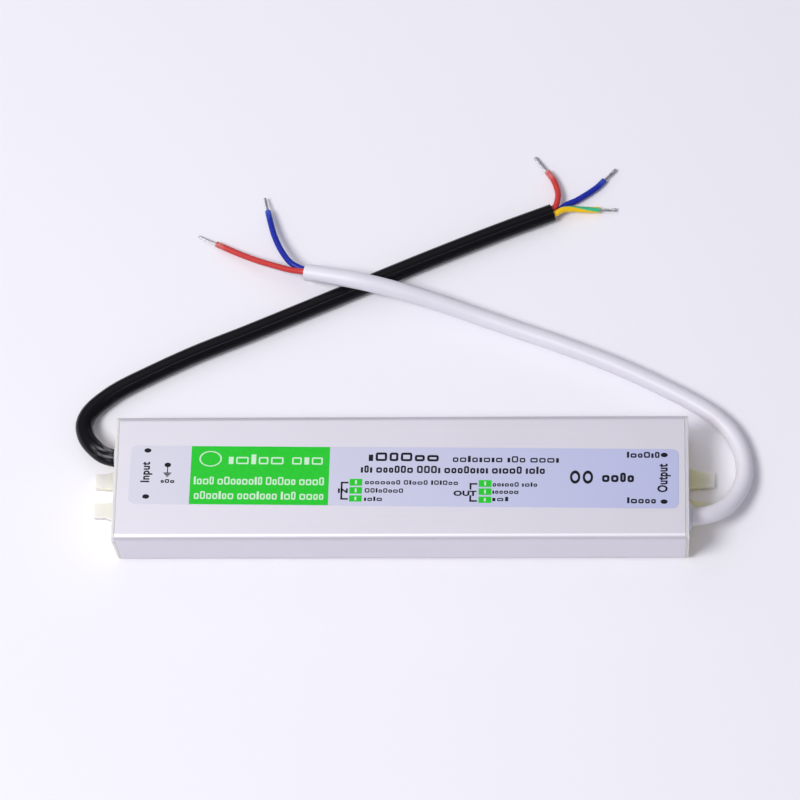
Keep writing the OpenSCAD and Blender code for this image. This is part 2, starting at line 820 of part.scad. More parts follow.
// Small parts
module optocoupler() {
    color("black") {
        translate([opto_at[0], opto_at[1], board_top + 0.5]) {
            translate([-2.3, -3.2, 0]) cube([4.6, 6.4, 3.4]);
            for (sx = [-1, 1], sy = [-1, 1])
                translate([sx * 1.27 - pin_r, sy > 0 ? 3 : -3.81 - pin_r, 1.5])
                    cube([pin_d, 0.81 + pin_r, 0.4]);
        }
        pins(opto_pins, board_top + 2.4);
    }
}

module controller_chip() {
    color("black") translate([chip_at[0], chip_at[1], board_top]) {
        translate([-2.45, -1.95, 0.1]) cube([4.9, 3.9, 1.5]);
        for (i = [-1.5:1:1.5], s = [-1, 1]) {
            translate([i * 1.27 - 0.2, s > 0 ? 1.9 : -3, 0]) cube([0.4, 1.1, 0.2]);
            translate([i * 1.27 - 0.2, s > 0 ? 1.9 : -2.3, 0.1]) cube([0.4, 0.4, 0.8]);
        }
    }
}

module chip_resistors() {
    color("dimgray") for (at = resistor_at)
        translate([at[0] - 1.6, at[1] - 0.8, board_top]) cube([3.2, 1.6, 0.6]);
}

module signal_diodes() {
    z = board_top + lift + 1.35;
    color("dimgray") {
        for (at = diode_at) translate([at[0], at[1], z]) rotate([0, 90, 0]) {
            cylinder(h = 5.2, r = 1.35, center = true);
            cylinder(h = 10 + pin_d, r = pin_r, center = true);
        }
        pins(diode_pins, z);
    }
}

// Output choke: a ferrite drum with its coil between the flanges
drum_flange = 1.4;
drum_waist = 5;
drum_rim = 0.6;

module output_choke_core() {
    color("dimgray") {
        translate([drum_at[0], drum_at[1], board_top]) rotate_extrude() polygon([
            [0, 0], [drum_d / 2, 0], [drum_d / 2, drum_flange], [drum_waist / 2, drum_flange],
            [drum_waist / 2, drum_h - drum_flange], [drum_d / 2, drum_h - drum_flange],
            [drum_d / 2, drum_h], [0, drum_h]
        ]);
        pins(drum_pins, board_top + 1);
    }
}

module output_choke_winding() {
    color("peru") translate([drum_at[0], drum_at[1], board_top + drum_flange]) difference() {
        cylinder(h = drum_h - 2 * drum_flange, r = drum_d / 2 - drum_rim);
        translate([0, 0, -1]) cylinder(h = drum_h, r = drum_waist / 2);
    }
}

// Everything that the compound flows around
module embedded() {
    circuit_board();
    solder_joints();
    insulating_sheet();
    for (p = concat(three_pads, two_pads)) pin(p, board_top);
    input_live_lead();
    input_neutral_lead();
    input_earth_lead();
    output_positive_lead();
    output_negative_lead();
    input_fuse();
    surge_varistor();
    filter_capacitor();
    filter_choke_core();
    filter_choke_windings();
    bridge_rectifier();
    bulk_capacitors();
    switching_transistor();
    transistor_pad();
    transformer_core_halves();
    transformer_bobbin();
    transformer_winding();
    safety_capacitor();
    optocoupler();
    controller_chip();
    chip_resistors();
    signal_diodes();
    output_rectifier();
    rectifier_pad();
    output_capacitors();
    output_choke_core();
    output_choke_winding();
}

module potting_compound() {
    color("darkolivegreen") difference() {
        along_x(-plug_end, 2 * plug_end) case_bore();
        embedded();
        at_cable(-plug_end - 1, 1)
            cylinder(h = plug_end + 1 - jacket_end, r = input_d / 2 + cable_gap);
        at_cable(jacket_end, -1)
            cylinder(h = plug_end + 1 - jacket_end, r = output_d / 2 + cable_gap);
    }
}

aluminium_case();
input_end_cap();
output_end_cap();
rating_label();
input_cable();
output_cable();
input_live_core();
input_neutral_core();
input_earth_core();
output_positive_core();
output_negative_core();
input_conductors();
output_conductors();
input_live_lead();
input_neutral_lead();
input_earth_lead();
output_positive_lead();
output_negative_lead();
circuit_board();
solder_joints();
insulating_sheet();
potting_compound();
input_fuse();
surge_varistor();
filter_capacitor();
filter_choke_core();
filter_choke_windings();
bridge_rectifier();
bulk_capacitors();
switching_transistor();
transistor_pad();
transformer_core_halves();
transformer_bobbin();
transformer_winding();
safety_capacitor();
optocoupler();
controller_chip();
chip_resistors();
signal_diodes();
output_rectifier();
rectifier_pad();
output_capacitors();
output_choke_core();
output_choke_winding();
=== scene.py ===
"""Looks, label print, leads and studio for a slim sealed lighting transformer."""

import json
import math
import random

import bmesh
import bpy
from bpy.props import FloatProperty, FloatVectorProperty, IntProperty, PointerProperty
from mathutils import Matrix, Vector


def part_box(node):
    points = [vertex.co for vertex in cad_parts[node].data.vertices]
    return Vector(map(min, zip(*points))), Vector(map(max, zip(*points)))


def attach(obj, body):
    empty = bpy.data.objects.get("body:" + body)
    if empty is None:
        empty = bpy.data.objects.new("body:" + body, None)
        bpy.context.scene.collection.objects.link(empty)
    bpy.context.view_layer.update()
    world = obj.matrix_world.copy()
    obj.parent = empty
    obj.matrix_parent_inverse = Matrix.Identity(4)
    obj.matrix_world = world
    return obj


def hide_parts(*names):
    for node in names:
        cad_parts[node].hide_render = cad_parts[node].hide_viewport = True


bl_info = {
    "name": "Sealed Lighting Transformer",
    "version": (1, 0, 0),
    "blender": (4, 5, 0),
    "location": "3D View > Sidebar > Transformer",
    "description": "Finishes the case, end caps, label, leads and board of a sealed transformer",
    "category": "Object",
}

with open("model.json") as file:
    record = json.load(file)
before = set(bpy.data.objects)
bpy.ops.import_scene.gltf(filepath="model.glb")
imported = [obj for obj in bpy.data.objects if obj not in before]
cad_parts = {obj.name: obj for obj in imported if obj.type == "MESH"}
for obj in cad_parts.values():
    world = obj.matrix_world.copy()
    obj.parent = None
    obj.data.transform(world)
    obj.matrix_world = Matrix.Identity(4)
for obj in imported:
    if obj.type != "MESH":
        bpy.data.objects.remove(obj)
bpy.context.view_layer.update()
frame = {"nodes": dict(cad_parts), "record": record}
SLOT_COLOURS = {m["slot"]: (*m["base_color"], 1.0) for m in frame["record"]["materials"]}
NODE_SLOTS = {p["node"]: p["material_slot"] for p in frame["record"]["subparts"]}
MM = 0.001
FULL_TURN = 2 * math.pi
# How close points are welded, in metres, and the angle up to which faces become one
SOLID_WELD, SEAM_WELD, FLAT_ANGLE = 1e-6, 1e-7, math.radians(0.3)

# Routes of the two leads, as the solids have them, in millimetres
MAINS_ROUTE = [
    (-90.8, 11.2, 10.5), (-96, 11.2, 10.5), (-101.4, 11.2, 10.5), (-105.6, 12.6, 10.1),
    (-108.9, 15.4, 9), (-111.7, 18.9, 7.4), (-113.4, 22.6, 5.8), (-114, 26.4, 4.6),
    (-113.1, 30, 3.7), (-110.8, 33.3, 3.3), (-107.6, 36.3, 3.15), (-102.4, 40.1, 3.15),
    (-91.9, 45.8, 3.15), (-75.9, 53.7, 3.15), (-56.9, 61.8, 3.15), (-39.9, 69.3, 3.15),
    (-21.9, 77.3, 3.15), (-2, 86.2, 3.15), (16, 94, 3.15), (33.9, 101.5, 3.15),
    (52.2, 108.7, 3.15),
]
OUTPUT_ROUTE = [
    (90.8, -11.2, 10.5), (96, -11.2, 10.5), (101.4, -11.2, 10.5), (105.1, -10.7, 10.2),
    (109.4, -9.1, 9), (113.3, -6.2, 7.6), (116.7, -1.7, 6), (119.2, 4, 4.6), (119.8, 9.9, 3.6),
    (118.7, 16.1, 3.1), (115.7, 22.5, 3.1), (110.4, 28.4, 3.1), (102.8, 33.9, 3.1),
    (90.8, 40.7, 3.1), (74.7, 48.8, 3.1), (56.6, 56.4, 3.1), (40.5, 62.4, 3.2),
    (25.5, 67.8, 3.9), (10.5, 72.7, 5.9), (-4.5, 76.6, 8.2), (-17.6, 79.5, 9.5),
    (-27.7, 81.7, 8.9), (-36.3, 83.7, 7.6),
]

# Each core: its place on the jacket's cut face, how far it runs straight ahead, its route, and
# how much more of it is bared
MAINS_CORES = {
    "live": ((1.15, 0.664), 1.2, [
        (53.9, 112.7, 3.7), (54.2, 116.1, 3.2), (53.5, 119.4, 2.6), (52.2, 122.7, 2.1),
        (50.2, 125.6, 1.7)], 1.6),
    "neutral": ((0, -1.328), 1.2, [
        (57, 112.2, 1.7), (60.8, 114.1, 1.5), (64.8, 116.7, 1.4), (68.3, 119.4, 1.3),
        (71, 122.2, 1.2)], 0),
    "earth": ((-1.15, 0.664), 1.2, [
        (55.6, 109.3, 3.7), (58.7, 110.1, 3), (62.3, 110.2, 2.2), (65.9, 110.3, 1.6),
        (69.3, 110.4, 1.3)], 0),
}
OUTPUT_CORES = {
    "positive": ((0.43, 1.15), 1.5, [
        (-42.3, 84.9, 7.2), (-48.5, 87.4, 5.6), (-54.7, 90.1, 4), (-61, 93.2, 2.6),
        (-69.8, 97.8, 1.4)], 1.6),
    "negative": ((-1.22, -0.4), 1.5, [
        (-41.9, 87.7, 7), (-45.4, 92.6, 6.2), (-48.4, 99.3, 5), (-50.4, 106.2, 3.9),
        (-51.3, 109.9, 3.2)], 0),
}
# Each lead: its name, route, jacket diameter and cores, and how much wider its strands lie at
# their tips
LEADS = {
    "input": ("mains", MAINS_ROUTE, 6.3 * MM, MAINS_CORES, 0.55),
    "output": ("output", OUTPUT_ROUTE, 6.2 * MM, OUTPUT_CORES, 0.1),
}
JACKET_PACE, CORE_PACE = 1.6 * MM, 0.9 * MM
JACKET_SIDES, CORE_SIDES, STRAND_SIDES, SOLDER_SIDES = 32, 20, 8, 14
CORE_WALL, CORE_RECESS = 0.55 * MM, 0.25 * MM
STRAND_STEPS, STRAND_SHARE, STRAND_SUNK = 14, 0.96, 0.2
# The solder: where it starts along the strands, its share of them, and its sections, as shares
# of its length and width
SOLDER_START, SOLDER_SHARE = 0.68, 0.32
SOLDER_SECTIONS = (
    (0, 0.7), (0.35, 0.95), (0.6, 1), (0.8, 0.97), (0.92, 0.8), (0.98, 0.55), (1, 0.15),
)

LABEL_LENGTH, LABEL_WIDTH, LABEL_CORNER = 191 * MM, 21.8 * MM, 2.3 * MM
LABEL_TURN = math.radians(-0.64)
# Label print in the label's frame, in millimetres: (left, right, bottom, top)
GREEN_FIELD = (-74.1, -25.6, -10.8, 10.8)
BULLETS = [
    (left, right, bottom + drop, top + drop)
    for left, right, drop in ((-18.35, -13.95, 0), (26.5, 30.95, -0.1))
    for bottom, top in ((-3.49, -0.97), (-6.45, -4.02), (-9.37, -7.05))
]
MARK_MARGIN, MARK_HALF_WIDTH = 0.55, 0.3
# Greeked lines: (left, right, middle, height, letter pitch, line width)
PALE_LINES = (
    (-60.9, -28, 6, 3.6, 4.3, 0.52), (-72.8, -27.3, -2, 2.9, 2.2, 0.5),
    (-72.5, -27.3, -7.4, 2.9, 2.2, 0.5),
)
INK_LINES = (
    (-12, 12.4, 7.3, 3.2, 4.1, 0.82), (17.3, 54.1, 6.7, 2.3, 2.4, 0.5),
    (-14.6, 49.3, 2.7, 2.7, 2.1, 0.62), (-13, 19.3, -2.15, 1.6, 1.75, 0.4),
    (-13, 0.3, -5.2, 1.6, 1.75, 0.4), (-13.1, -6.9, -8.3, 1.6, 1.75, 0.4),
    (31.3, 46.7, -2.6, 1.6, 1.6, 0.4), (31.3, 40.3, -5.3, 1.6, 1.6, 0.4),
    (31.3, 36.8, -8, 1.6, 1.6, 0.4), (77.6, 88.9, 8.7, 2.2, 2, 0.55),
    (77.8, 87.7, -8.1, 2.2, 2, 0.55), (69.1, 80.1, 0.3, 3.5, 2.8, 0.86),
    (-84.4, -79.6, -2.3, 1.4, 1.7, 0.42),
)
# Letters of a greeked line before it is scaled: those wider than BOX_WIDTH are boxes, not bars
NARROW, WIDE, BOX_WIDTH = (0.36, 0.36), (0.72, 0.82, 0.94), 0.5
LETTER_HEIGHTS, LETTER_GAP, WORD_GAP, WORD_LETTERS = (0.74, 0.74, 1.0), 0.2, 0.45, (3, 8)
PRINT_SEED = 7
# Dots: (middle, width, height), the last one over the earth sign
INK_DOTS = (
    ((-89.5, 9.05), 2.45, 1.65), ((-89.3, -8.1), 2.45, 1.65), ((90.5, 8.7), 2.45, 1.65),
    ((90.5, -8.5), 2.45, 1.65), ((-82.2, 3.7), 2.3, 1.7),
)
# Rings: (middle, width, height, line width)
PALE_RING = ((-67.3, 6.1), 7.9, 5.8, 0.5)
INK_RINGS = (((59.8, 0.3), 3.6, 4.9, 0.82), ((64.2, 0.3), 3.6, 4.9, 0.82))
# The earth sign's stem and three bars
EARTH_MIDDLE, EARTH_LINE = -82.2, 0.42
EARTH_BARS = [(-82.37, -82.03, 0.6, 3.5)] + [
    (EARTH_MIDDLE - width / 2, EARTH_MIDDLE + width / 2, level, level + EARTH_LINE)
    for width, level in ((2.7, 0.45), (1.8, -0.1), (0.9, -0.65))
]
# Brackets: (left, right, top, bottom, gap in the upright)
BRACKETS = ((-21.4, -18.75, -2.1, -8.7, -0.2), (23.35, 26, -2.2, -9.1, 2.1))
UPRIGHT_WIDTH, ARM_WIDTH = 0.65, 0.6
# Words: (text, middle, length, height, turn, weight)
WORDS = (
    ("IN", (-20.6, -5.4), 3.4, 1.7, 0, 0.05), ("OUT", (21.8, -6), 8, 2, 0, 0.05),
    ("Input", (-89.5, 1), 7.6, 4.1, math.pi / 2, 0.035),
    ("Output", (90.45, 0.2), 10.5, 4.7, math.pi / 2, 0.035),
)

# Where a finish changes, in metres: along and up the forks, where their painted shade ends, where
# the scuffs and painted sheen of the mains jacket begin and end, and from the end of a core
FORK_REACH, FORK_HEIGHT = (0.1015, 0.114), (0.003, 0.006)
SCUFF_AND_SHEEN_START, SCUFF_AND_SHEEN_END, WORN_END = (0.0105, 0.012), (0.015, 0.021), (0.001, 0.0055)
# The turns round a lead where the scuffs with their painted sheen, and the earth stripe, lie
SCUFF_AND_SHEEN_TURN, STRIPE_TURN = 0.3, 0.345
# Grey of the scuffs, partly a painted sheen
SCUFF_AND_SHEEN_COLOUR = (0.24, 0.24, 0.25, 1)

# Lamps: (name, width, height, place), in metres
LAMPS = (
    ("key", 0.7, 0.7, (-0.8, -0.42, 1.6)), ("rear", 1.8, 1.8, (-0.7, 0.9, 1.6)),
    ("strip", 0.8, 0.1, (0.27, -0.64, 1.71)),
)
ROOM_COLOUR = (0.88, 0.872, 1, 1)
CAMERA_PLACE = (0.0786, -0.43114, 1.17125)
FLOOR_REACH, FLOOR_LEVEL = 3, -0.0002


# ---- Shader building ----
class Value:
    """An output of a shader node. Arithmetic on it adds Math nodes."""

    def __init__(self, finish, socket):
        self.finish, self.socket = finish, socket

    def __add__(self, other):
        return self.finish.maths("ADD", self, other)

    def __radd__(self, other):
        return self.finish.maths("ADD", other, self)

    def __sub__(self, other):
        return self.finish.maths("SUBTRACT", self, other)

    def __rsub__(self, other):
        return self.finish.maths("SUBTRACT", other, self)

    def __mul__(self, other):
        return self.finish.maths("MULTIPLY", self, other)

    def __rmul__(self, other):
        return self.finish.maths("MULTIPLY", other, self)


class Finish:
    """Nodes of one material or world, made one at a time."""

    def __init__(self, tree):
        self.tree = tree
        self.tree.nodes.clear()

    @classmethod
    def of(cls, name):
        """The finish of a new material."""
        material = bpy.data.materials.new(name)
        material.use_nodes = True
        made = cls(material.node_tree)
        made.material = material
        return made

    def node(self, kind, settings=None, inputs=None, output=0):
        """Adds a node: its settings first, then the values or links of its sockets."""
        made = self.tree.nodes.new("ShaderNode" + kind)
        for key, value in (settings or {}).items():
            setattr(made, key, value)
        for key, value in (inputs or {}).items():
            if isinstance(value, Value):
                self.tree.links.new(value.socket, made.inputs[key])
            else:
                made.inputs[key].default_value = value
        return Value(self, made.outputs[output] if made.outputs else None)

    def maths(self, operation, *values):
        """The result of one Math node."""
        return self.node("Math", {"operation": operation}, dict(enumerate(values)))

    def blend(self, share, first, second):
        """A colour between two others."""
        settings = {"data_type": "RGBA", "clamp_factor": True}
        return self.node("Mix", settings, {0: share, 6: first, 7: second}, output=2)

    def step(self, value, low, high):
        """0 below low and 1 above high, with a soft change between them."""
        settings = {"interpolation_type": "SMOOTHSTEP"}
        return self.node("MapRange", settings, {0: value, 1: low, 2: high, 3: 0.0, 4: 1.0})

    def noise(self, size, detail=2.0, stretch=(1, 1, 1)):
        """Grain of about that size in metres, longer along the axes that stretch is above 1."""
        place = self.node("TexCoord", output="Object")
        scale = [1 / (size * s) for s in stretch]
        place = self.node("Mapping", None, {"Vector": place, "Scale": scale})
        return self.node("TexNoise", None, {"Vector": place, "Scale": 1.0, "Detail": detail})

    def place(self):
        """The object's own coordinates, in metres."""
        return self.split(self.node("TexCoord", output="Object"))

    def split(self, vector):
        """The three parts of a vector."""
        parts = self.node("SeparateXYZ", None, {0: vector}).socket.node.outputs
        return [Value(self, part) for part in parts]

    def along(self):
        """The share of a turn round a lead and the way along it, in metres."""
        return self.split(self.node("UVMap", {"uv_map": "lead"}))[:2]

    def bump(self, height, depth, strength=1.0):
        """A normal from a height, which counts for up to a depth in metres."""
        return self.node("Bump", None, {"Height": height, "Distance": depth, "Strength": strength})

    def surface(self, **sockets):
        """Ends the material in a Principled shader and returns the material."""
        names = {key.replace("_", " "): value for key, value in sockets.items()}
        shader = self.node("BsdfPrincipled", None, names)
        self.node("OutputMaterial", None, {"Surface": shader})
        return self.material


def shade(colour, factor):
    """A colour made that many times as bright."""
    return (*(min(1.0, c * factor) for c in colour[:3]), 1.0)


# ---- Finishes ----
def drawn_aluminium(settings):
    """Satin anodised extrusion, with fine die lines along the case."""
    f = Finish.of("drawn_aluminium")
    lines = f.noise(settings.line_pitch, detail=3.0, stretch=(120, 1, 1))
    cloud = f.noise(0.03)
    colour = f.blend(0.6 * lines + 0.4 * cloud, settings.metal, shade(settings.metal, 1.07))
    return f.surface(
        Base_Color=colour, Metallic=0.65, Roughness=0.44 + 0.08 * lines + 0.06 * cloud,
        Normal=f.bump(lines, 0.00002, 0.5),
    )


def natural_nylon(settings):
    """Milky moulded nylon with a slight grain, yellower at the roots of the forks: painted shade.

    The yellow stands for the look of thin nylon in shade. It is painted stronger at the low
    voltage end, where the forks lie in the case's shadow.
    """
    f = Finish.of("natural_nylon")
    cloud = f.noise(0.006)
    grain = f.noise(0.0004)
    along, _, height = f.place()
    # Painted shade: low down and short of their tips, the forks get the yellow of thin nylon in
    # shade, more at the low voltage end, in the case's shadow
    tip = f.step(f.maths("ABSOLUTE", along), *FORK_REACH)
    painted_shade_by_end = 0.3 + 0.7 * f.step(along, -0.05, 0.05)
    pale = 1 - painted_shade_by_end * (1 - tip) * (1 - f.step(height, *FORK_HEIGHT))
    return f.surface(
        Base_Color=f.blend(0.8 * pale + 0.2 * cloud, settings.shaded_fork_nylon, settings.nylon),
        Roughness=0.36 + 0.12 * cloud, Normal=f.bump(grain, 0.00003, 0.4),
        Subsurface_Weight=0.7, Subsurface_Radius=(1.0, 0.85, 0.35), Subsurface_Scale=0.012,
    )


def label_film(settings):
    """Silvery polyester film, bluer along its length: a painted sheen makes it lighter and greyer
    at the mains end.
    """
    f = Finish.of("label_film")
    cloud = f.noise(0.02)
    ripple = f.noise(0.008, detail=1.0)
    # Painted sheen: the film is painted lighter and greyer towards the mains end, and bluer
    # towards the low voltage end
    along = f.step(f.place()[0], -0.12, 0.13)
    return f.surface(
        Base_Color=f.blend(0.9 * along + 0.1 * cloud, settings.film, settings.film_without_sheen),
        Metallic=0.6, Roughness=0.4 + 0.06 * cloud, Normal=f.bump(ripple, 0.00004, 0.25),
    )


def print_ink(name, colour):
    """Screen printed ink, a little uneven in cover and gloss."""
    f = Finish.of(name)
    cover = f.noise(0.0012)
    return f.surface(
        Base_Color=f.blend(cover, shade(colour, 0.9), shade(colour, 1.08)),
        Roughness=0.34 + 0.12 * cover, Specular_IOR_Level=0.25,
    )


def black_sheath(settings):
    """Flexible black jacket, grey on its upper side where it bends behind the cap: partly scuff
    marks, partly painted sheen.
    """
    f = Finish.of("black_sheath")
    turn, way = f.along()
    grain = f.noise(0.0008)
    place = f.node("CombineXYZ", None, {0: turn * 17, 1: way * 170})
    marks = f.node("TexNoise", None, {"Vector": place, "Scale": 1.0, "Detail": 5.0})
    # Scuffs and painted sheen: grey streaks on the upper side of the bend, partly scuff marks and
    # partly a painted sheen of light on the rubbed surface
    top = f.step(f.maths("COSINE", (turn - SCUFF_AND_SHEEN_TURN) * FULL_TURN), 0.2, 0.85)
    bend = f.step(way, *SCUFF_AND_SHEEN_START) * (1 - f.step(way, *SCUFF_AND_SHEEN_END))
    scuff_and_sheen = f.step(marks, 0.4, 0.7) * bend * top
    colour = f.blend(scuff_and_sheen * 0.85, shade(settings.black, 0.45), SCUFF_AND_SHEEN_COLOUR)
    return f.surface(
        Base_Color=colour, Roughness=0.14 + 0.04 * grain + 0.36 * scuff_and_sheen, Specular_IOR_Level=0.12,
        Normal=f.bump(grain, 0.00003, 0.4),
    )


def white_sheath(settings):
    """Flexible white jacket."""
    f = Finish.of("white_sheath")
    grain = f.noise(0.0009)
    cloud = f.noise(0.012)
    return f.surface(
        Base_Color=f.blend(cloud, settings.white, shade(settings.white, 1.055)),
        Roughness=0.36 + 0.1 * grain, Normal=f.bump(grain, 0.00003, 0.5),
    )


def core_insulation(name, colour, pale):
    """Soft coloured insulation, paler where the stripping tool pulled at its end."""
    f = Finish.of(name)
    _, way = f.along()
    cloud = f.noise(0.0016)
    worn = (1 - f.step(way, *WORN_END)) * (0.35 + 0.65 * f.step(cloud, 0.35, 0.6))
    body = f.blend(cloud, shade(colour, 0.88), shade(colour, 1.12))
    return f.surface(
        Base_Color=f.blend(worn * 0.75, body, pale), Roughness=0.3 + 0.1 * cloud,
        Specular_IOR_Level=0.28, Normal=f.bump(cloud, 0.00004, 0.35),
    )


def earth_insulation(settings):
    """Yellow insulation with one green stripe that turns slowly round it."""
    f = Finish.of("earth_insulation")
    turn, way = f.along()
    cloud = f.noise(0.0016)
    wave = f.maths("COSINE", (turn - STRIPE_TURN + settings.stripe_turns * way) * FULL_TURN)
    stripe = f.step(wave, 0.66, 0.82)
    yellow = f.blend(cloud, shade(settings.yellow, 0.92), shade(settings.yellow, 1.06))
    green = f.blend(cloud, shade(settings.green, 0.85), shade(settings.green, 1.1))
    return f.surface(
        Base_Color=f.blend(stripe, yellow, green), Roughness=0.34 + 0.1 * cloud,
        Specular_IOR_Level=0.36, Normal=f.bump(cloud, 0.00004, 0.35),
    )


def tinned_metal(name):
    """Dull tinned copper and solder."""
    colour = SLOT_COLOURS["tinned_copper"]
    f = Finish.of(name)
    spots = f.noise(0.0007, detail=4.0)
    return f.surface(
        Base_Color=f.blend(f.step(spots, 0.3, 0.65), shade(colour, 0.65), shade(colour, 1.3)),
        Metallic=1.0, Roughness=0.4 + 0.2 * spots, Normal=f.bump(spots, 0.00003, 0.5),
    )


# Finishes of the sealed-in parts: (dark share, grain in metres, roughness, metallic, bump depth)
INNER_FINISHES = {
    "laminate": (0.75, 0.0025, 0.3, 0.0, 0.00002),
    "film": (0.85, 0.004, 0.4, 0.0, 0.00002),
    "compound": (0.6, 0.006, 0.5, 0.0, 0.0001),
    "fuse_ceramic": (0.85, 0.001, 0.6, 0.0, 0.00004),
    "blue_lacquer": (0.8, 0.002, 0.22, 0.0, 0.00006),
    "yellow_box": (0.88, 0.003, 0.42, 0.0, 0.00002),
    "ferrite": (0.65, 0.0012, 0.55, 0.1, 0.00005),
    "enamelled_copper": (0.6, 0.0006, 0.28, 0.9, 0.00008),
    "black_moulding": (0.7, 0.0008, 0.45, 0.0, 0.00003),
    "can_sleeve": (0.8, 0.003, 0.25, 0.0, 0.00001),
    "silicone_pad": (0.88, 0.0015, 0.6, 0.0, 0.00003),
    "bobbin": (0.8, 0.002, 0.5, 0.0, 0.00003),
    "winding_tape": (0.86, 0.002, 0.2, 0.0, 0.00003),
}


def inner_finish(slot):
    """The finish of a sealed-in part, in its slot's colour."""
    dark, grain, roughness, metallic, depth = INNER_FINISHES[slot]
    f = Finish.of(slot + "_finish")
    pattern = f.noise(grain, detail=3.0)
    colour = SLOT_COLOURS[slot]
    return f.surface(
        Base_Color=f.blend(pattern, shade(colour, dark), shade(colour, 1.1)), Metallic=metallic,
        Roughness=roughness + 0.12 * pattern, Normal=f.bump(pattern, depth, 0.6),
    )


# ---- Mesh building ----
def new_object(bm, name, material):
    """An object in the scene, with a bmesh as its mesh."""
    mesh = bpy.data.meshes.new(name)
    bm.to_mesh(mesh)
    bm.free()
    mesh.materials.append(material)
    made = bpy.data.objects.new(name, mesh)
    bpy.context.scene.collection.objects.link(made)
    return made


def finish_piece(bm, name, material, replaces=(), sharp=35, bevel=None, flat=False):
    """Makes a bmesh a piece that rides with the transformer and stands for its solids.

    Edges past the sharp angle, in degrees, stay sharp, and a bevel breaks them.
    """
    for face in bm.faces:
        face.smooth = True
    piece = new_object(bm, name, material)
    mesh = piece.data
    if "custom_normal" in mesh.attributes:
        mesh.attributes.remove(mesh.attributes["custom_normal"])
    mesh.set_sharp_from_angle(angle=math.radians(sharp))
    if bevel:
        edges = piece.modifiers.new("broken_edges", "BEVEL")
        edges.width, edges.segments, edges.profile = bevel, 3, 0.5
        edges.limit_method, edges.angle_limit = "ANGLE", math.radians(38)
        edges.use_clamp_overlap, edges.harden_normals = False, True
    if bevel or flat:
        flats = piece.modifiers.new("flat_faces", "WEIGHTED_NORMAL")
        flats.mode, flats.weight, flats.keep_sharp = "FACE_AREA", 90, True
    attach(piece, "root")
    if replaces:
        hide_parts(*replaces)
    return piece


def solid_copy(node):
    """A welded copy of a solid's mesh, its flat faces whole again."""
    bm = bmesh.new()
    bm.from_mesh(frame["nodes"][node].data)
    bmesh.ops.remove_doubles(bm, verts=bm.verts, dist=SOLID_WELD)
    bmesh.ops.dissolve_limit(
        bm, angle_limit=FLAT_ANGLE, use_dissolve_boundaries=False,
        verts=bm.verts, edges=bm.edges, delimit=set(),
    )
    return bm


def paint(node, material):
    """Gives a solid's own object another material."""
    solid = frame["nodes"][node]
    solid.data.materials.clear()
    solid.data.materials.append(material)


def paint_by_slot(nodes):
    """Gives each solid the finish of its slot in the record."""
    for node in nodes:
        slot = NODE_SLOTS[node]
        paint(node, bpy.data.materials.get(slot + "_finish") or inner_finish(slot))


def millimetres(points):
    """Points in millimetres, as vectors in metres."""
    return [Vector(p) * MM for p in points]


def end_heading(path):
    """The direction in which a path ends."""
    return (path[-1] - path[-2]).normalized()


def level_place(point, heading):
    """A placing matrix: Z along the heading, and X level."""
    side = Vector((0, 0, 1)).cross(heading).normalized()
    place = Matrix((side, heading.cross(side), heading)).transposed().to_4x4()
    place.translation = point
    return place


def places_along(path):
    """A placing matrix at each point of a path."""
    ahead = path[1:] + [2 * path[-1] - path[-2]]
    behind = [2 * path[0] - path[1]] + path[:-1]
    return [level_place(p, (a - b).normalized()) for p, a, b in zip(path, ahead, behind)]


def between(a, b, c, d, share):
    """A point between b and c on a curve that bends towards a and d without overshooting."""
    knots = [0.0]
    for p, q in ((a, b), (b, c), (c, d)):
        knots.append(knots[-1] + math.sqrt((q - p).length))
    at = knots[1] + share * (knots[2] - knots[1])

    def mix(p, q, i, j):
        return (p * (knots[j] - at) + q * (at - knots[i])) / (knots[j] - knots[i])

    ab, bc, cd = mix(a, b, 0, 1), mix(b, c, 1, 2), mix(c, d, 2, 3)
    return mix(mix(ab, bc, 0, 2), mix(bc, cd, 1, 3), 1, 2)


def smooth_path(points, pace):
    """Points about a pace apart on one smooth curve through the given points."""
    ends = [2 * points[0] - points[1], *points, 2 * points[-1] - points[-2]]
    path = []
    for a, b, c, d in zip(ends, ends[1:], ends[2:], ends[3:]):
        count = max(1, round((c - b).length / pace))
        path += [between(a, b, c, d, i / count) for i in range(count)]
    return path + [points[-1]]


def path_length(path):
    """The length of a path, in metres."""
    return sum((b - a).length for a, b in zip(path, path[1:]))


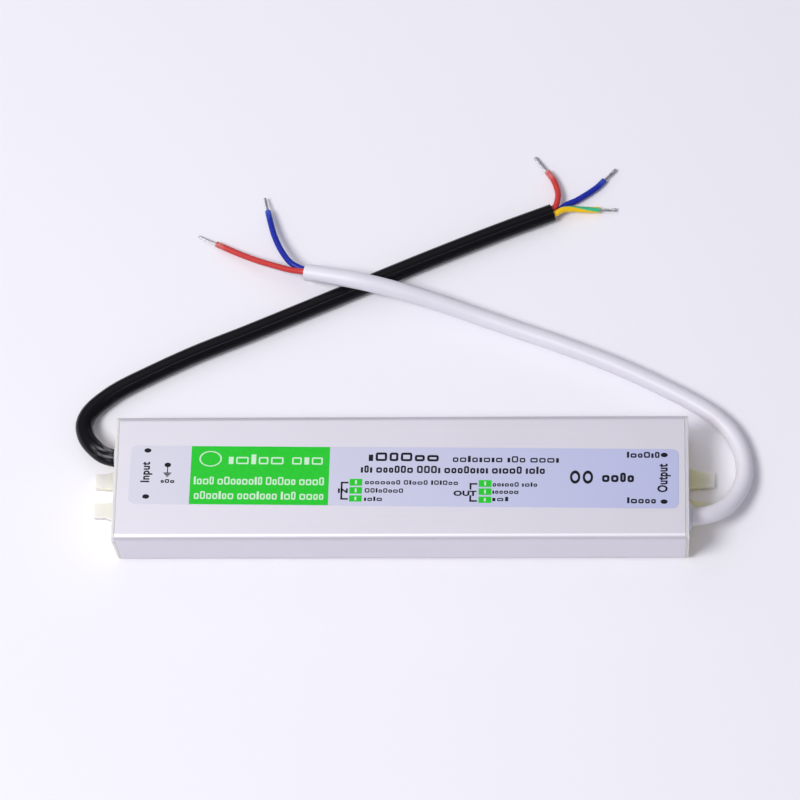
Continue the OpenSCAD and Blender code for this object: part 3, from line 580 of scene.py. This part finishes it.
def sweep(bm, path, radius, sides, from_end=False, swell=None):
    """Pushes a ring of edges along a path, wider or narrower by swell. Returns the far end face.

    The lead map gets the share of a turn round the tube and the way along it, from one end or
    the other.
    """
    layer = bm.loops.layers.uv.get("lead") or bm.loops.layers.uv.new("lead")
    places = places_along(path)
    if swell:
        places = [place @ Matrix.Scale(s, 4) for place, s in zip(places, swell)]
    ring = bmesh.ops.create_circle(bm, segments=sides, radius=radius, matrix=places[0])["verts"]
    edges = list({e for v in ring for e in v.link_edges})
    near = bmesh.ops.contextual_create(bm, geom=edges)["faces"][0]
    total, way = path_length(path), 0.0
    spots = {v: (places[0].inverted() @ v.co, 0.0) for v in ring}
    walls = []
    for i, (before, after) in enumerate(zip(places, places[1:])):
        grown = bmesh.ops.extrude_edge_only(bm, edges=edges)["geom"]
        verts = {g for g in grown if isinstance(g, bmesh.types.BMVert)}
        edges = [g for g in grown if isinstance(g, bmesh.types.BMEdge) and set(g.verts) <= verts]
        walls += [g for g in grown if isinstance(g, bmesh.types.BMFace)]
        bmesh.ops.transform(bm, matrix=after @ before.inverted(), verts=list(verts))
        way += (path[i + 1] - path[i]).length
        spots.update({v: (after.inverted() @ v.co, way) for v in verts})
    far = bmesh.ops.contextual_create(bm, geom=edges)["faces"][0]
    for wall in walls:
        first = None
        for loop in wall.loops:
            spot, at = spots[loop.vert]
            turn = math.atan2(spot.y, spot.x) / FULL_TURN % 1.0
            first = turn if first is None else first
            turn += round(first - turn)
            loop[layer].uv = (turn, total - at if from_end else at)
    for face, at in ((near, 0.0), (far, total)):
        for loop in face.loops:
            loop[layer].uv = (0.0, total - at if from_end else at)
    return far


def hollow_end(bm, face, wall, depth, heading):
    """Sinks the middle of a cut end and leaves its wall standing."""
    bmesh.ops.inset_individual(bm, faces=[face], thickness=wall, use_even_offset=True)
    floor = bmesh.ops.extrude_discrete_faces(bm, faces=[face])["faces"][0]
    bmesh.ops.translate(bm, vec=-depth * heading, verts=list(floor.verts))


def closed(bm):
    """A bmesh with its seams merged and its faces turned outwards."""
    bmesh.ops.remove_doubles(bm, verts=bm.verts, dist=SEAM_WELD)
    bmesh.ops.recalc_face_normals(bm, faces=bm.faces)
    return bm


def join(bm, other):
    """Moves the faces of one bmesh into another."""
    spare = bpy.data.meshes.new("spare")
    other.to_mesh(spare)
    other.free()
    bm.from_mesh(spare)
    bpy.data.meshes.remove(spare)


# ---- Leads ----
def jacket(route, diameter, settings):
    """A jacket along its route, its free end cut square around the cores, and its path."""
    bm = bmesh.new()
    path = smooth_path(millimetres(route), JACKET_PACE)
    for point in path:
        point.z = max(point.z, diameter / 2)
    far = sweep(bm, path, diameter / 2, JACKET_SIDES)
    hollow_end(bm, far, settings.jacket_wall, settings.recess, end_heading(path))
    return closed(bm), path


def core(jacket_path, spot, ahead, route, settings):
    """A core, from inside its jacket to where its insulation ends, and its path."""
    heading = end_heading(jacket_path)
    start = level_place(jacket_path[-1], heading) @ Vector((spot[0] * MM, spot[1] * MM, 0))
    inside = start - heading * (settings.recess * 0.9)
    points = [inside, start, start + ahead * MM * heading, *millimetres(route)]
    path = smooth_path(points, CORE_PACE)
    bm = bmesh.new()
    far = sweep(bm, path, settings.core_width / 2, CORE_SIDES, from_end=True)
    hollow_end(bm, far, CORE_WALL, CORE_RECESS, end_heading(path))
    return closed(bm), path


def strands(bm, path, settings, flare, more):
    """Twisted strands, straight on from the end of a core, their tips run together with solder."""
    heading = end_heading(path)
    start = level_place(path[-1] - heading * STRAND_SUNK * MM, heading)
    length = settings.bare_length + more
    for k in range(settings.strand_count):
        line = []
        for i in range(STRAND_STEPS + 1):
            share = STRAND_SHARE * i / STRAND_STEPS
            turn = FULL_TURN * (k / (settings.strand_count - 1) + settings.strand_turns * share)
            out = 0 if k == 0 else settings.strand_lay * (1 + flare * share)
            spot = Vector((out * math.cos(turn), out * math.sin(turn), share * length))
            line.append(start @ spot)
        sweep(bm, line, settings.strand_width / 2, STRAND_SIDES)
    radius = settings.strand_lay * (1 + flare) + settings.strand_width * 0.3
    shares, swell = zip(*SOLDER_SECTIONS)
    line = [start @ Vector((0, 0, length * (SOLDER_START + SOLDER_SHARE * s))) for s in shares]
    sweep(bm, line, radius, SOLDER_SIDES, swell=swell)


def tails(bm, node):
    """Adds the part of a solid that lies inside the case."""
    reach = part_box("aluminium_case")[1]
    inner = solid_copy(node)
    outer = [v for v in inner.verts if v.co.y > reach.y]
    bmesh.ops.delete(inner, geom=outer, context="VERTS")
    join(bm, inner)


def lead(side, insulation, sheath, settings):
    """One flying lead: jacket, cores and bared conductors."""
    label, route, diameter, cores, flare = LEADS[side]

    def dress(bm, name, material, node):
        return finish_piece(bm, "%s_%s" % (label, name), material, [node])

    shell, path = jacket(route, diameter, settings)
    cable = dress(shell, "jacket", sheath, side + "_cable")
    on_it, tips = [], bmesh.new()
    for name, (spot, ahead, rest, more) in cores.items():
        bm, line = core(path, spot, ahead, rest, settings)
        node = "%s_%s_core" % (side, name)
        on_it.append(dress(bm, name + "_insulation", insulation[name], node))
        strands(tips, line, settings, flare, more * MM)
    conductors = side + "_conductors"
    tails(tips, conductors)
    metal = tinned_metal(label + "_tinned_strands")
    on_it.append(dress(closed(tips), "strands", metal, conductors))
    path_length(path)


# ---- Label ----
def label_place(height):
    """The label's own frame on the lid, at a height above the base."""
    low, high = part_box("rating_label")
    middle = (low + high) / 2
    place = Matrix.Translation((middle.x, middle.y, height))
    return place @ Matrix.Rotation(LABEL_TURN, 4, "Z")


def shift(at, height=0.0):
    """A placing matrix: millimetres across the label, and metres above it."""
    return Matrix.Translation((at[0] * MM, at[1] * MM, height))


def bar(bm, place, box, thick):
    """A plain bar of print: left, right, bottom and top in millimetres."""
    left, right, bottom, top = (v * MM for v in box)
    middle = Matrix.Translation(((left + right) / 2, (bottom + top) / 2, thick / 2))
    size = Matrix.Diagonal((right - left, top - bottom, thick, 1))
    bmesh.ops.create_cube(bm, size=1, matrix=place @ middle @ size)


def dot(bm, place, at, wide, high, thick):
    """A plain oval of print."""
    size = Matrix.Diagonal((wide * MM, high * MM, thick, 1))
    bmesh.ops.create_cone(
        bm, cap_ends=True, segments=28, radius1=0.5, radius2=0.5, depth=1,
        matrix=place @ shift(at, thick / 2) @ size,
    )


def ring(bm, place, at, wide, high, line, thick):
    """A plain printed ring, spun from the outline of a small rectangle."""
    oval = shift(at) @ Matrix.Diagonal((1, high / wide, 1, 1))
    radius = (wide - line) * MM / 2
    shape = Matrix.Translation((radius, 0, thick / 2)) @ Matrix.Rotation(math.pi / 2, 4, "X")
    shape = shape @ Matrix.Diagonal((line * MM, thick, 1, 1))
    made = bmesh.ops.create_grid(bm, x_segments=1, y_segments=1, size=0.5, matrix=shape)["verts"]
    outline = list({e for v in made for e in v.link_edges})
    bmesh.ops.delete(bm, geom=list(made[0].link_faces), context="FACES_ONLY")
    before = set(bm.verts) - set(made)
    bmesh.ops.spin(
        bm, geom=made + outline, cent=(0, 0, 0), axis=(0, 0, 1), angle=FULL_TURN, steps=32,
        use_merge=True, use_normal_flip=False, use_duplicate=False, dvec=(0, 0, 0),
    )
    grown = [v for v in bm.verts if v not in before]
    bmesh.ops.transform(bm, matrix=place @ oval, verts=grown)


def greek(bm, place, line, thick, rng):
    """Fills a line with plain open boxes and bars for letters, in words of a few letters."""
    left, right, middle, height, pitch, stroke = line
    count = max(3, round((right - left) / pitch))
    marks, at, word_end = [], 0.0, rng.randint(*WORD_LETTERS)
    for k in range(count):
        wide = rng.choice(WIDE if k % 2 else NARROW + WIDE)
        marks.append((at, at + wide, rng.choice(LETTER_HEIGHTS)))
        at += wide + LETTER_GAP
        if k + 1 == word_end and count - k > 3:
            at += WORD_GAP
            word_end += rng.randint(*WORD_LETTERS)
    scale = (right - left) / marks[-1][1]
    base = middle - height / 2
    boxes = []
    for start, end, tall in marks:
        cell = (left + start * scale, left + end * scale, base, base + tall * height)
        if end - start > BOX_WIDTH:
            boxes.append(cell)
        else:
            bar(bm, place, cell, thick)
    outlines(bm, place, boxes, stroke, thick)


def outlines(bm, place, cells, line, thick):
    """Open boxes of print, all drawn with the same width of line."""
    flat = bmesh.new()
    for left, right, bottom, top in cells:
        middle = Matrix.Translation(((left + right) / 2 * MM, (bottom + top) / 2 * MM, 0))
        size = Matrix.Diagonal(((right - left) * MM, (top - bottom) * MM, 1, 1))
        bmesh.ops.create_grid(flat, x_segments=1, y_segments=1, size=0.5, matrix=middle @ size)
    bmesh.ops.bevel(
        flat, geom=flat.verts[:], offset=0.95 * line * MM, offset_type="OFFSET", segments=3,
        profile=0.5, affect="VERTICES", material=-1,
    )
    inner = flat.faces[:]
    bmesh.ops.inset_individual(flat, faces=inner, thickness=line * MM)
    bmesh.ops.delete(flat, geom=inner, context="FACES_ONLY")
    raise_print(flat, thick)
    bmesh.ops.transform(flat, matrix=place, verts=flat.verts)
    join(bm, flat)


def raise_print(bm, thick):
    """Gives flat faces a thickness and returns their raised corners."""
    grown = bmesh.ops.extrude_face_region(bm, geom=bm.faces[:], use_keep_orig=True)["geom"]
    raised = [g for g in grown if isinstance(g, bmesh.types.BMVert)]
    bmesh.ops.translate(bm, vec=(0, 0, thick), verts=raised)
    return raised


def word(bm, place, text, at, length, height, turn, weight, thick):
    """Adds a bold word of the built-in font, scaled to a length and a height."""
    curve = bpy.data.curves.new("word", "FONT")
    curve.body, curve.size, curve.resolution_u, curve.offset = text, 1.0, 3, weight
    curve.space_character = 1.08
    holder = bpy.data.objects.new("word", curve)
    bpy.context.scene.collection.objects.link(holder)
    bpy.context.view_layer.update()
    drawn = holder.evaluated_get(bpy.context.evaluated_depsgraph_get())
    flat = bpy.data.meshes.new_from_object(drawn)
    letters = bmesh.new()
    letters.from_mesh(flat)
    xs = [v.co.x for v in letters.verts]
    ys = [v.co.y for v in letters.verts]
    centre = Matrix.Translation((-(min(xs) + max(xs)) / 2, -(min(ys) + max(ys)) / 2, 0))
    scale = (length * MM / (max(xs) - min(xs)), height * MM / (max(ys) - min(ys)))
    size = Matrix.Diagonal((*scale, 1, 1))
    spot = shift(at) @ Matrix.Rotation(turn, 4, "Z")
    bmesh.ops.transform(letters, matrix=place @ spot @ size @ centre, verts=letters.verts)
    raise_print(letters, thick)
    join(bm, letters)
    bpy.data.objects.remove(holder)
    bpy.data.curves.remove(curve)
    bpy.data.meshes.remove(flat)


def film_sheet(place, thick):
    """The label's film: a rounded rectangle with a softly broken rim."""
    bm = bmesh.new()
    size = Matrix.Diagonal((LABEL_LENGTH, LABEL_WIDTH, 1, 1))
    bmesh.ops.create_grid(bm, x_segments=1, y_segments=1, size=0.5, matrix=place @ size)
    bmesh.ops.bevel(
        bm, geom=bm.verts[:], offset=LABEL_CORNER, offset_type="OFFSET", segments=10,
        profile=0.5, affect="VERTICES", material=-1,
    )
    top = set(raise_print(bm, thick))
    bmesh.ops.recalc_face_normals(bm, faces=bm.faces)
    rim = [e for e in bm.edges if set(e.verts) <= top]
    bmesh.ops.bevel(
        bm, geom=rim, offset=thick * 0.3, offset_type="OFFSET", segments=2,
        profile=0.5, affect="EDGES", material=-1,
    )
    return bm


def green_print(place, thick):
    """The green field, and a green box before each of the rating lines."""
    bm = bmesh.new()
    for box in (GREEN_FIELD, *BULLETS):
        bar(bm, place, box, thick)
    return bm


def pale_print(place, thick, rng):
    """What stands on the green: lines, a mark in each box and a ring."""
    bm = bmesh.new()
    for line in PALE_LINES:
        greek(bm, place, line, thick, rng)
    for left, right, bottom, top in BULLETS:
        middle = (left + right) / 2
        sides = (middle - MARK_HALF_WIDTH, middle + MARK_HALF_WIDTH)
        bar(bm, place, (*sides, bottom + MARK_MARGIN, top - MARK_MARGIN), thick)
    ring(bm, place, *PALE_RING, thick)
    return closed(bm)


def dark_print(place, thick, rng):
    """The dark lines, dots, earth sign, brackets, rings and words."""
    bm = bmesh.new()
    for line in INK_LINES:
        greek(bm, place, line, thick, rng)
    for mark in INK_DOTS:
        dot(bm, place, *mark, thick)
    for box in EARTH_BARS:
        bar(bm, place, box, thick)
    for left, right, top, bottom, gap in BRACKETS:
        middle, inner, half = (top + bottom) / 2, left + UPRIGHT_WIDTH, ARM_WIDTH / 2
        bar(bm, place, (left, inner, middle + gap / 2, top - half), thick)
        bar(bm, place, (left, inner, bottom + half, middle - gap / 2), thick)
        for level in (top - ARM_WIDTH, bottom):
            bar(bm, place, (left, right, level, level + ARM_WIDTH), thick)
    for mark in INK_RINGS:
        ring(bm, place, *mark, thick)
    for text in WORDS:
        word(bm, place, *text, thick)
    return closed(bm)


# ---- Studio ----
def make_floor(settings):
    """A plain pale table top, just under the case."""
    bm = bmesh.new()
    level = Matrix.Translation((0, 0, FLOOR_LEVEL))
    bmesh.ops.create_grid(bm, x_segments=1, y_segments=1, size=FLOOR_REACH, matrix=level)
    f = Finish.of("table_top")
    cloud = f.noise(0.25)
    material = f.surface(
        Base_Color=f.blend(cloud, shade(settings.floor, 0.985), shade(settings.floor, 1.015)),
        Roughness=0.6,
    )
    floor = new_object(bm, "table_top", material)


def make_room(scene, settings):
    """A pale room, brightest overhead, and dimmer near the horizon and to the right."""
    world = bpy.data.worlds.new("room")
    scene.world = world
    world.use_nodes = True
    f = Finish(world.node_tree)
    side, _, height = f.split(f.node("TexCoord", output="Generated"))
    level = (0.62 + 0.38 * f.step(height, 0.05, 0.6)) * (1 - 0.4 * side)
    sockets = {"Color": ROOM_COLOUR, "Strength": settings.sky * level}
    f.node("OutputWorld", None, {"Surface": f.node("Background", None, sockets)})


def add_lamp(scene, name, power, wide, high, at):
    """A soft oval lamp that points at the frame's origin."""
    data = bpy.data.lights.new(name, "AREA")
    data.energy, data.shape, data.size, data.size_y = power, "ELLIPSE", wide, high
    lamp = bpy.data.objects.new(name, data)
    lamp.location = at
    lamp.rotation_mode = "QUATERNION"
    lamp.rotation_quaternion = (-Vector(at)).to_track_quat("-Z", "Y")
    lamp.visible_camera = False
    scene.collection.objects.link(lamp)


def make_camera(scene, settings):
    """The camera: raised above the table, turned round the transformer and tilted."""
    data = bpy.data.cameras.new("camera")
    data.lens, data.sensor_width = settings.lens, 36
    data.clip_start, data.clip_end = 0.05, 20
    camera = bpy.data.objects.new("camera", data)
    rise, turn, roll = settings.rise, settings.turn, settings.roll
    level = math.cos(rise)
    back = Vector((math.sin(turn) * level, -math.cos(turn) * level, math.sin(rise)))
    right = Vector((math.cos(turn), math.sin(turn), 0))
    tilted = right * math.cos(roll) + back.cross(right) * math.sin(roll)
    place = Matrix((tilted, back.cross(tilted), back)).transposed().to_4x4()
    place.translation = CAMERA_PLACE
    camera.matrix_world = place
    scene.collection.objects.link(camera)
    scene.camera = camera


# ---- Settings ----
def colour_setting(name, description, default):
    """An opaque colour."""
    return FloatVectorProperty(
        name=name, description=description, subtype="COLOR", size=4, min=0, max=1,
        default=(*default[:3], 1),
    )


def length_setting(name, description, default):
    """A length, its default in millimetres."""
    return FloatProperty(
        name=name, description=description, default=default * MM, min=0, unit="LENGTH",
        subtype="DISTANCE", precision=5,
    )


def number_setting(name, description, default, least=0, unit="NONE"):
    """A number that has a least value."""
    return FloatProperty(name=name, description=description, default=default, min=least, unit=unit)


def angle_setting(name, description, default):
    """An angle, its default in degrees."""
    return FloatProperty(
        name=name, description=description, default=math.radians(default), subtype="ANGLE",
    )


class CaseSettings(bpy.types.PropertyGroup):
    """Colours and edges of the case and its end caps"""

    metal: colour_setting("Metal", "Colour of the anodised case", (0.75, 0.727, 0.782))
    nylon: colour_setting("Nylon", "Colour of the end caps", (0.97, 0.915, 0.79))
    # The fork root colour is painted shade: the yellow that thin nylon shows in shade
    shaded_fork_nylon: colour_setting("Fork roots", "Colour at the roots of the forks", (1, 0.9, 0.48))
    line_pitch: length_setting("Die lines", "Distance between the lines of the extrusion", 0.4)
    broken_edge: length_setting("Broken edge", "Width of the bevel on sharp edges", 0.18)


class LabelSettings(bpy.types.PropertyGroup):
    """Colours and thickness of the label and its print"""

    # The film colour at the mains end holds a painted sheen. The colour at the low voltage end is
    # the film without it
    film: colour_setting("Film", "Colour of the film at the mains end", (0.727, 0.717, 0.785))
    film_without_sheen: colour_setting(
        "Deep film", "Colour of the film at the low voltage end", (0.578, 0.612, 0.888))
    green: colour_setting("Green", "Colour of the printed field", (0.016, 0.59, 0.026))
    ink: colour_setting("Ink", "Colour of the dark print", (0.004, 0.004, 0.009))
    pale: colour_setting("Pale ink", "Colour of the print on the green", (0.62, 0.86, 0.62))
    print_thickness: length_setting("Print thickness", "How far the print stands up", 0.012)


class LeadSettings(bpy.types.PropertyGroup):
    """Sizes and colours of the two leads"""

    jacket_wall: length_setting("Jacket wall", "Wall of a jacket at its cut end", 0.75)
    recess: length_setting("Recess", "How far the filler sits inside a cut end", 1.2)
    core_width: length_setting("Core", "Diameter of one insulated core", 2.2)
    bare_length: length_setting("Bared length", "Length of the bared strands", 6.4)
    strand_width: length_setting("Strand", "Diameter of one strand", 0.32)
    strand_lay: length_setting("Lay radius", "Distance of a strand from the middle one", 0.32)
    strand_count: IntProperty(
        name="Strands", description="Number of strands in a core", default=7, min=3)
    strand_turns: number_setting("Twist", "Turns of the strands over the bared length", 0.7)
    stripe_turns: number_setting("Stripe turns", "Turns of the earth stripe in one metre", 25)
    black: colour_setting("Black jacket", "Mains jacket", SLOT_COLOURS["black_jacket"])
    white: colour_setting("White jacket", "Low voltage jacket", (0.763, 0.743, 0.808))
    red: colour_setting("Red core", "Live and positive cores", SLOT_COLOURS["red_insulation"])
    blue: colour_setting("Blue core", "Neutral and negative cores", (0.008, 0.022, 0.36))
    yellow: colour_setting("Earth core", "Main colour of the earth core", (1, 0.61, 0.008))
    green: colour_setting("Earth stripe", "Stripe of the earth core", (0.045, 0.54, 0.25))


class StageSettings(bpy.types.PropertyGroup):
    """Floor, lamps and camera"""

    floor: colour_setting("Floor", "Colour of the table", (0.903, 0.894, 0.934))
    key_power: number_setting("Key lamp", "Power of the left soft box", 20.3, unit="POWER")
    rear_power: number_setting("Rear lamp", "Power of the soft box behind", 4, unit="POWER")
    strip_power: number_setting(
        "Strip lamp", "Power of the narrow lamp in front", 1.7, unit="POWER")
    sky: number_setting("Room light", "Brightness overhead", 0.403)
    lens: number_setting("Lens", "Focal length of the camera in millimetres", 159.6, least=1)
    rise: angle_setting("Rise", "Angle of the camera above the table", 67.922)
    turn: angle_setting("Turn", "Angle of the camera round the transformer", 9.757)
    roll: angle_setting("Roll", "Tilt of the camera about its own axis", -9.306)


# ---- Operators ----
class TRANSFORMER_OT_mains_lead(bpy.types.Operator):
    """Builds the black mains lead with its three cores"""

    bl_idname = "transformer.mains_lead"
    bl_label = "Mains Lead"

    def execute(self, context):
        settings = context.scene.transformer_lead
        insulation = {
            "live": core_insulation("mains_red", settings.red, (0.72, 0.3, 0.3, 1)),
            "neutral": core_insulation("mains_blue", settings.blue, (0.04, 0.09, 0.5, 1)),
            "earth": earth_insulation(settings),
        }
        lead("input", insulation, black_sheath(settings), settings)
        return {"FINISHED"}


class TRANSFORMER_OT_output_lead(bpy.types.Operator):
    """Builds the white low voltage lead with its two cores"""

    bl_idname = "transformer.output_lead"
    bl_label = "Low Voltage Lead"

    def execute(self, context):
        settings = context.scene.transformer_lead
        insulation = {
            "positive": core_insulation("output_red", settings.red, (0.62, 0.22, 0.2, 1)),
            "negative": core_insulation("output_blue", settings.blue, (0.07, 0.14, 0.6, 1)),
        }
        lead("output", insulation, white_sheath(settings), settings)
        return {"FINISHED"}


class TRANSFORMER_OT_case(bpy.types.Operator):
    """Finishes the extruded case"""

    bl_idname = "transformer.case"
    bl_label = "Extruded Case"

    def execute(self, context):
        settings = context.scene.transformer_case
        finish_piece(
            solid_copy("aluminium_case"), "extruded_case", drawn_aluminium(settings),
            ["aluminium_case"], sharp=30, bevel=settings.broken_edge,
        )
        return {"FINISHED"}


class TRANSFORMER_OT_caps(bpy.types.Operator):
    """Finishes the two moulded end caps"""

    bl_idname = "transformer.caps"
    bl_label = "End Caps"

    def execute(self, context):
        settings = context.scene.transformer_case
        nylon = natural_nylon(settings)
        for node in ("input_end_cap", "output_end_cap"):
            finish_piece(
                solid_copy(node), "moulded_" + node, nylon, [node],
                sharp=30, bevel=settings.broken_edge,
            )
        return {"FINISHED"}


class TRANSFORMER_OT_label(bpy.types.Operator):
    """Builds the label with its printed field, lines and marks"""

    bl_idname = "transformer.label"
    bl_label = "Label"

    def execute(self, context):
        settings = context.scene.transformer_label
        low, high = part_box("rating_label")
        ink = settings.print_thickness
        thick = high.z - low.z - 2 * ink
        finish_piece(
            film_sheet(label_place(low.z), thick), "label_sheet", label_film(settings),
            ["rating_label"], sharp=50, flat=True,
        )
        on_film, on_green = label_place(low.z + thick), label_place(low.z + thick + ink)
        rng = random.Random(PRINT_SEED)
        green = green_print(on_film, ink)
        finish_piece(green, "label_green_print", print_ink("green_ink", settings.green))
        pale = pale_print(on_green, ink, rng)
        finish_piece(pale, "label_pale_print", print_ink("pale_ink", settings.pale))
        dark = dark_print(on_film, ink, rng)
        finish_piece(dark, "label_dark_print", print_ink("dark_ink", settings.ink))
        return {"FINISHED"}


BOARD_NODES = ("circuit_board", "insulating_sheet", "potting_compound")


class TRANSFORMER_OT_board(bpy.types.Operator):
    """Paints the board, what is soldered to it and the compound around it"""

    bl_idname = "transformer.board"
    bl_label = "Board and Compound"

    def execute(self, context):
        settings = context.scene.transformer_lead
        red = core_insulation("inner_red", settings.red, shade(settings.red, 1.3))
        blue = core_insulation("inner_blue", settings.blue, shade(settings.blue, 1.3))
        yellow = core_insulation("inner_yellow", settings.yellow, shade(settings.green, 1.2))
        for node, material in (
            ("input_live_lead", red), ("output_positive_lead", red), ("input_neutral_lead", blue),
            ("output_negative_lead", blue), ("input_earth_lead", yellow),
            ("solder_joints", tinned_metal("solder")),
        ):
            paint(node, material)
        paint_by_slot(BOARD_NODES)
        return {"FINISHED"}


class TRANSFORMER_OT_components(bpy.types.Operator):
    """Paints the components on the board"""

    bl_idname = "transformer.components"
    bl_label = "Components"

    def execute(self, context):
        paint_by_slot(
            node for node, slot in NODE_SLOTS.items()
            if slot in INNER_FINISHES and node not in BOARD_NODES
        )
        return {"FINISHED"}


class TRANSFORMER_OT_stage(bpy.types.Operator):
    """Sets up the table, the lamps, the room light and the camera"""

    bl_idname = "transformer.stage"
    bl_label = "Studio"

    def execute(self, context):
        scene, settings = context.scene, context.scene.transformer_stage
        scene.view_settings.view_transform = "Standard"
        make_floor(settings)
        make_room(scene, settings)
        for name, wide, high, at in LAMPS:
            add_lamp(scene, name + "_lamp", getattr(settings, name + "_power"), wide, high, at)
        make_camera(scene, settings)
        return {"FINISHED"}


# ---- Panel and registration ----
GROUPS = {
    "transformer_case": CaseSettings,
    "transformer_label": LabelSettings,
    "transformer_lead": LeadSettings,
    "transformer_stage": StageSettings,
}
OPERATORS = (
    TRANSFORMER_OT_stage,
    TRANSFORMER_OT_mains_lead,
    TRANSFORMER_OT_output_lead,
    TRANSFORMER_OT_case,
    TRANSFORMER_OT_caps,
    TRANSFORMER_OT_label,
    TRANSFORMER_OT_board,
    TRANSFORMER_OT_components,
)


class TRANSFORMER_PT_panel(bpy.types.Panel):
    """Settings and steps of the transformer"""

    bl_idname = "TRANSFORMER_PT_panel"
    bl_label = "Transformer"
    bl_space_type = "VIEW_3D"
    bl_region_type = "UI"
    bl_category = "Transformer"

    def draw(self, context):
        for name, group in GROUPS.items():
            box = self.layout.box()
            box.label(text=name.split("_")[1].capitalize())
            for key in group.__annotations__:
                box.prop(getattr(context.scene, name), key)
        column = self.layout.column(align=True)
        for operator in OPERATORS:
            column.operator(operator.bl_idname)


CLASSES = (*GROUPS.values(), *OPERATORS, TRANSFORMER_PT_panel)


def register():
    for cls in CLASSES:
        bpy.utils.register_class(cls)
    for name, group in GROUPS.items():
        setattr(bpy.types.Scene, name, PointerProperty(type=group))


def unregister():
    for name in GROUPS:
        delattr(bpy.types.Scene, name)
    for cls in reversed(CLASSES):
        bpy.utils.unregister_class(cls)


def main():
    register()
    for operator in OPERATORS:
        step = operator.bl_idname.split(".")[1]
        getattr(bpy.ops.transformer, step)()


if __name__ == "__main__":
    main()
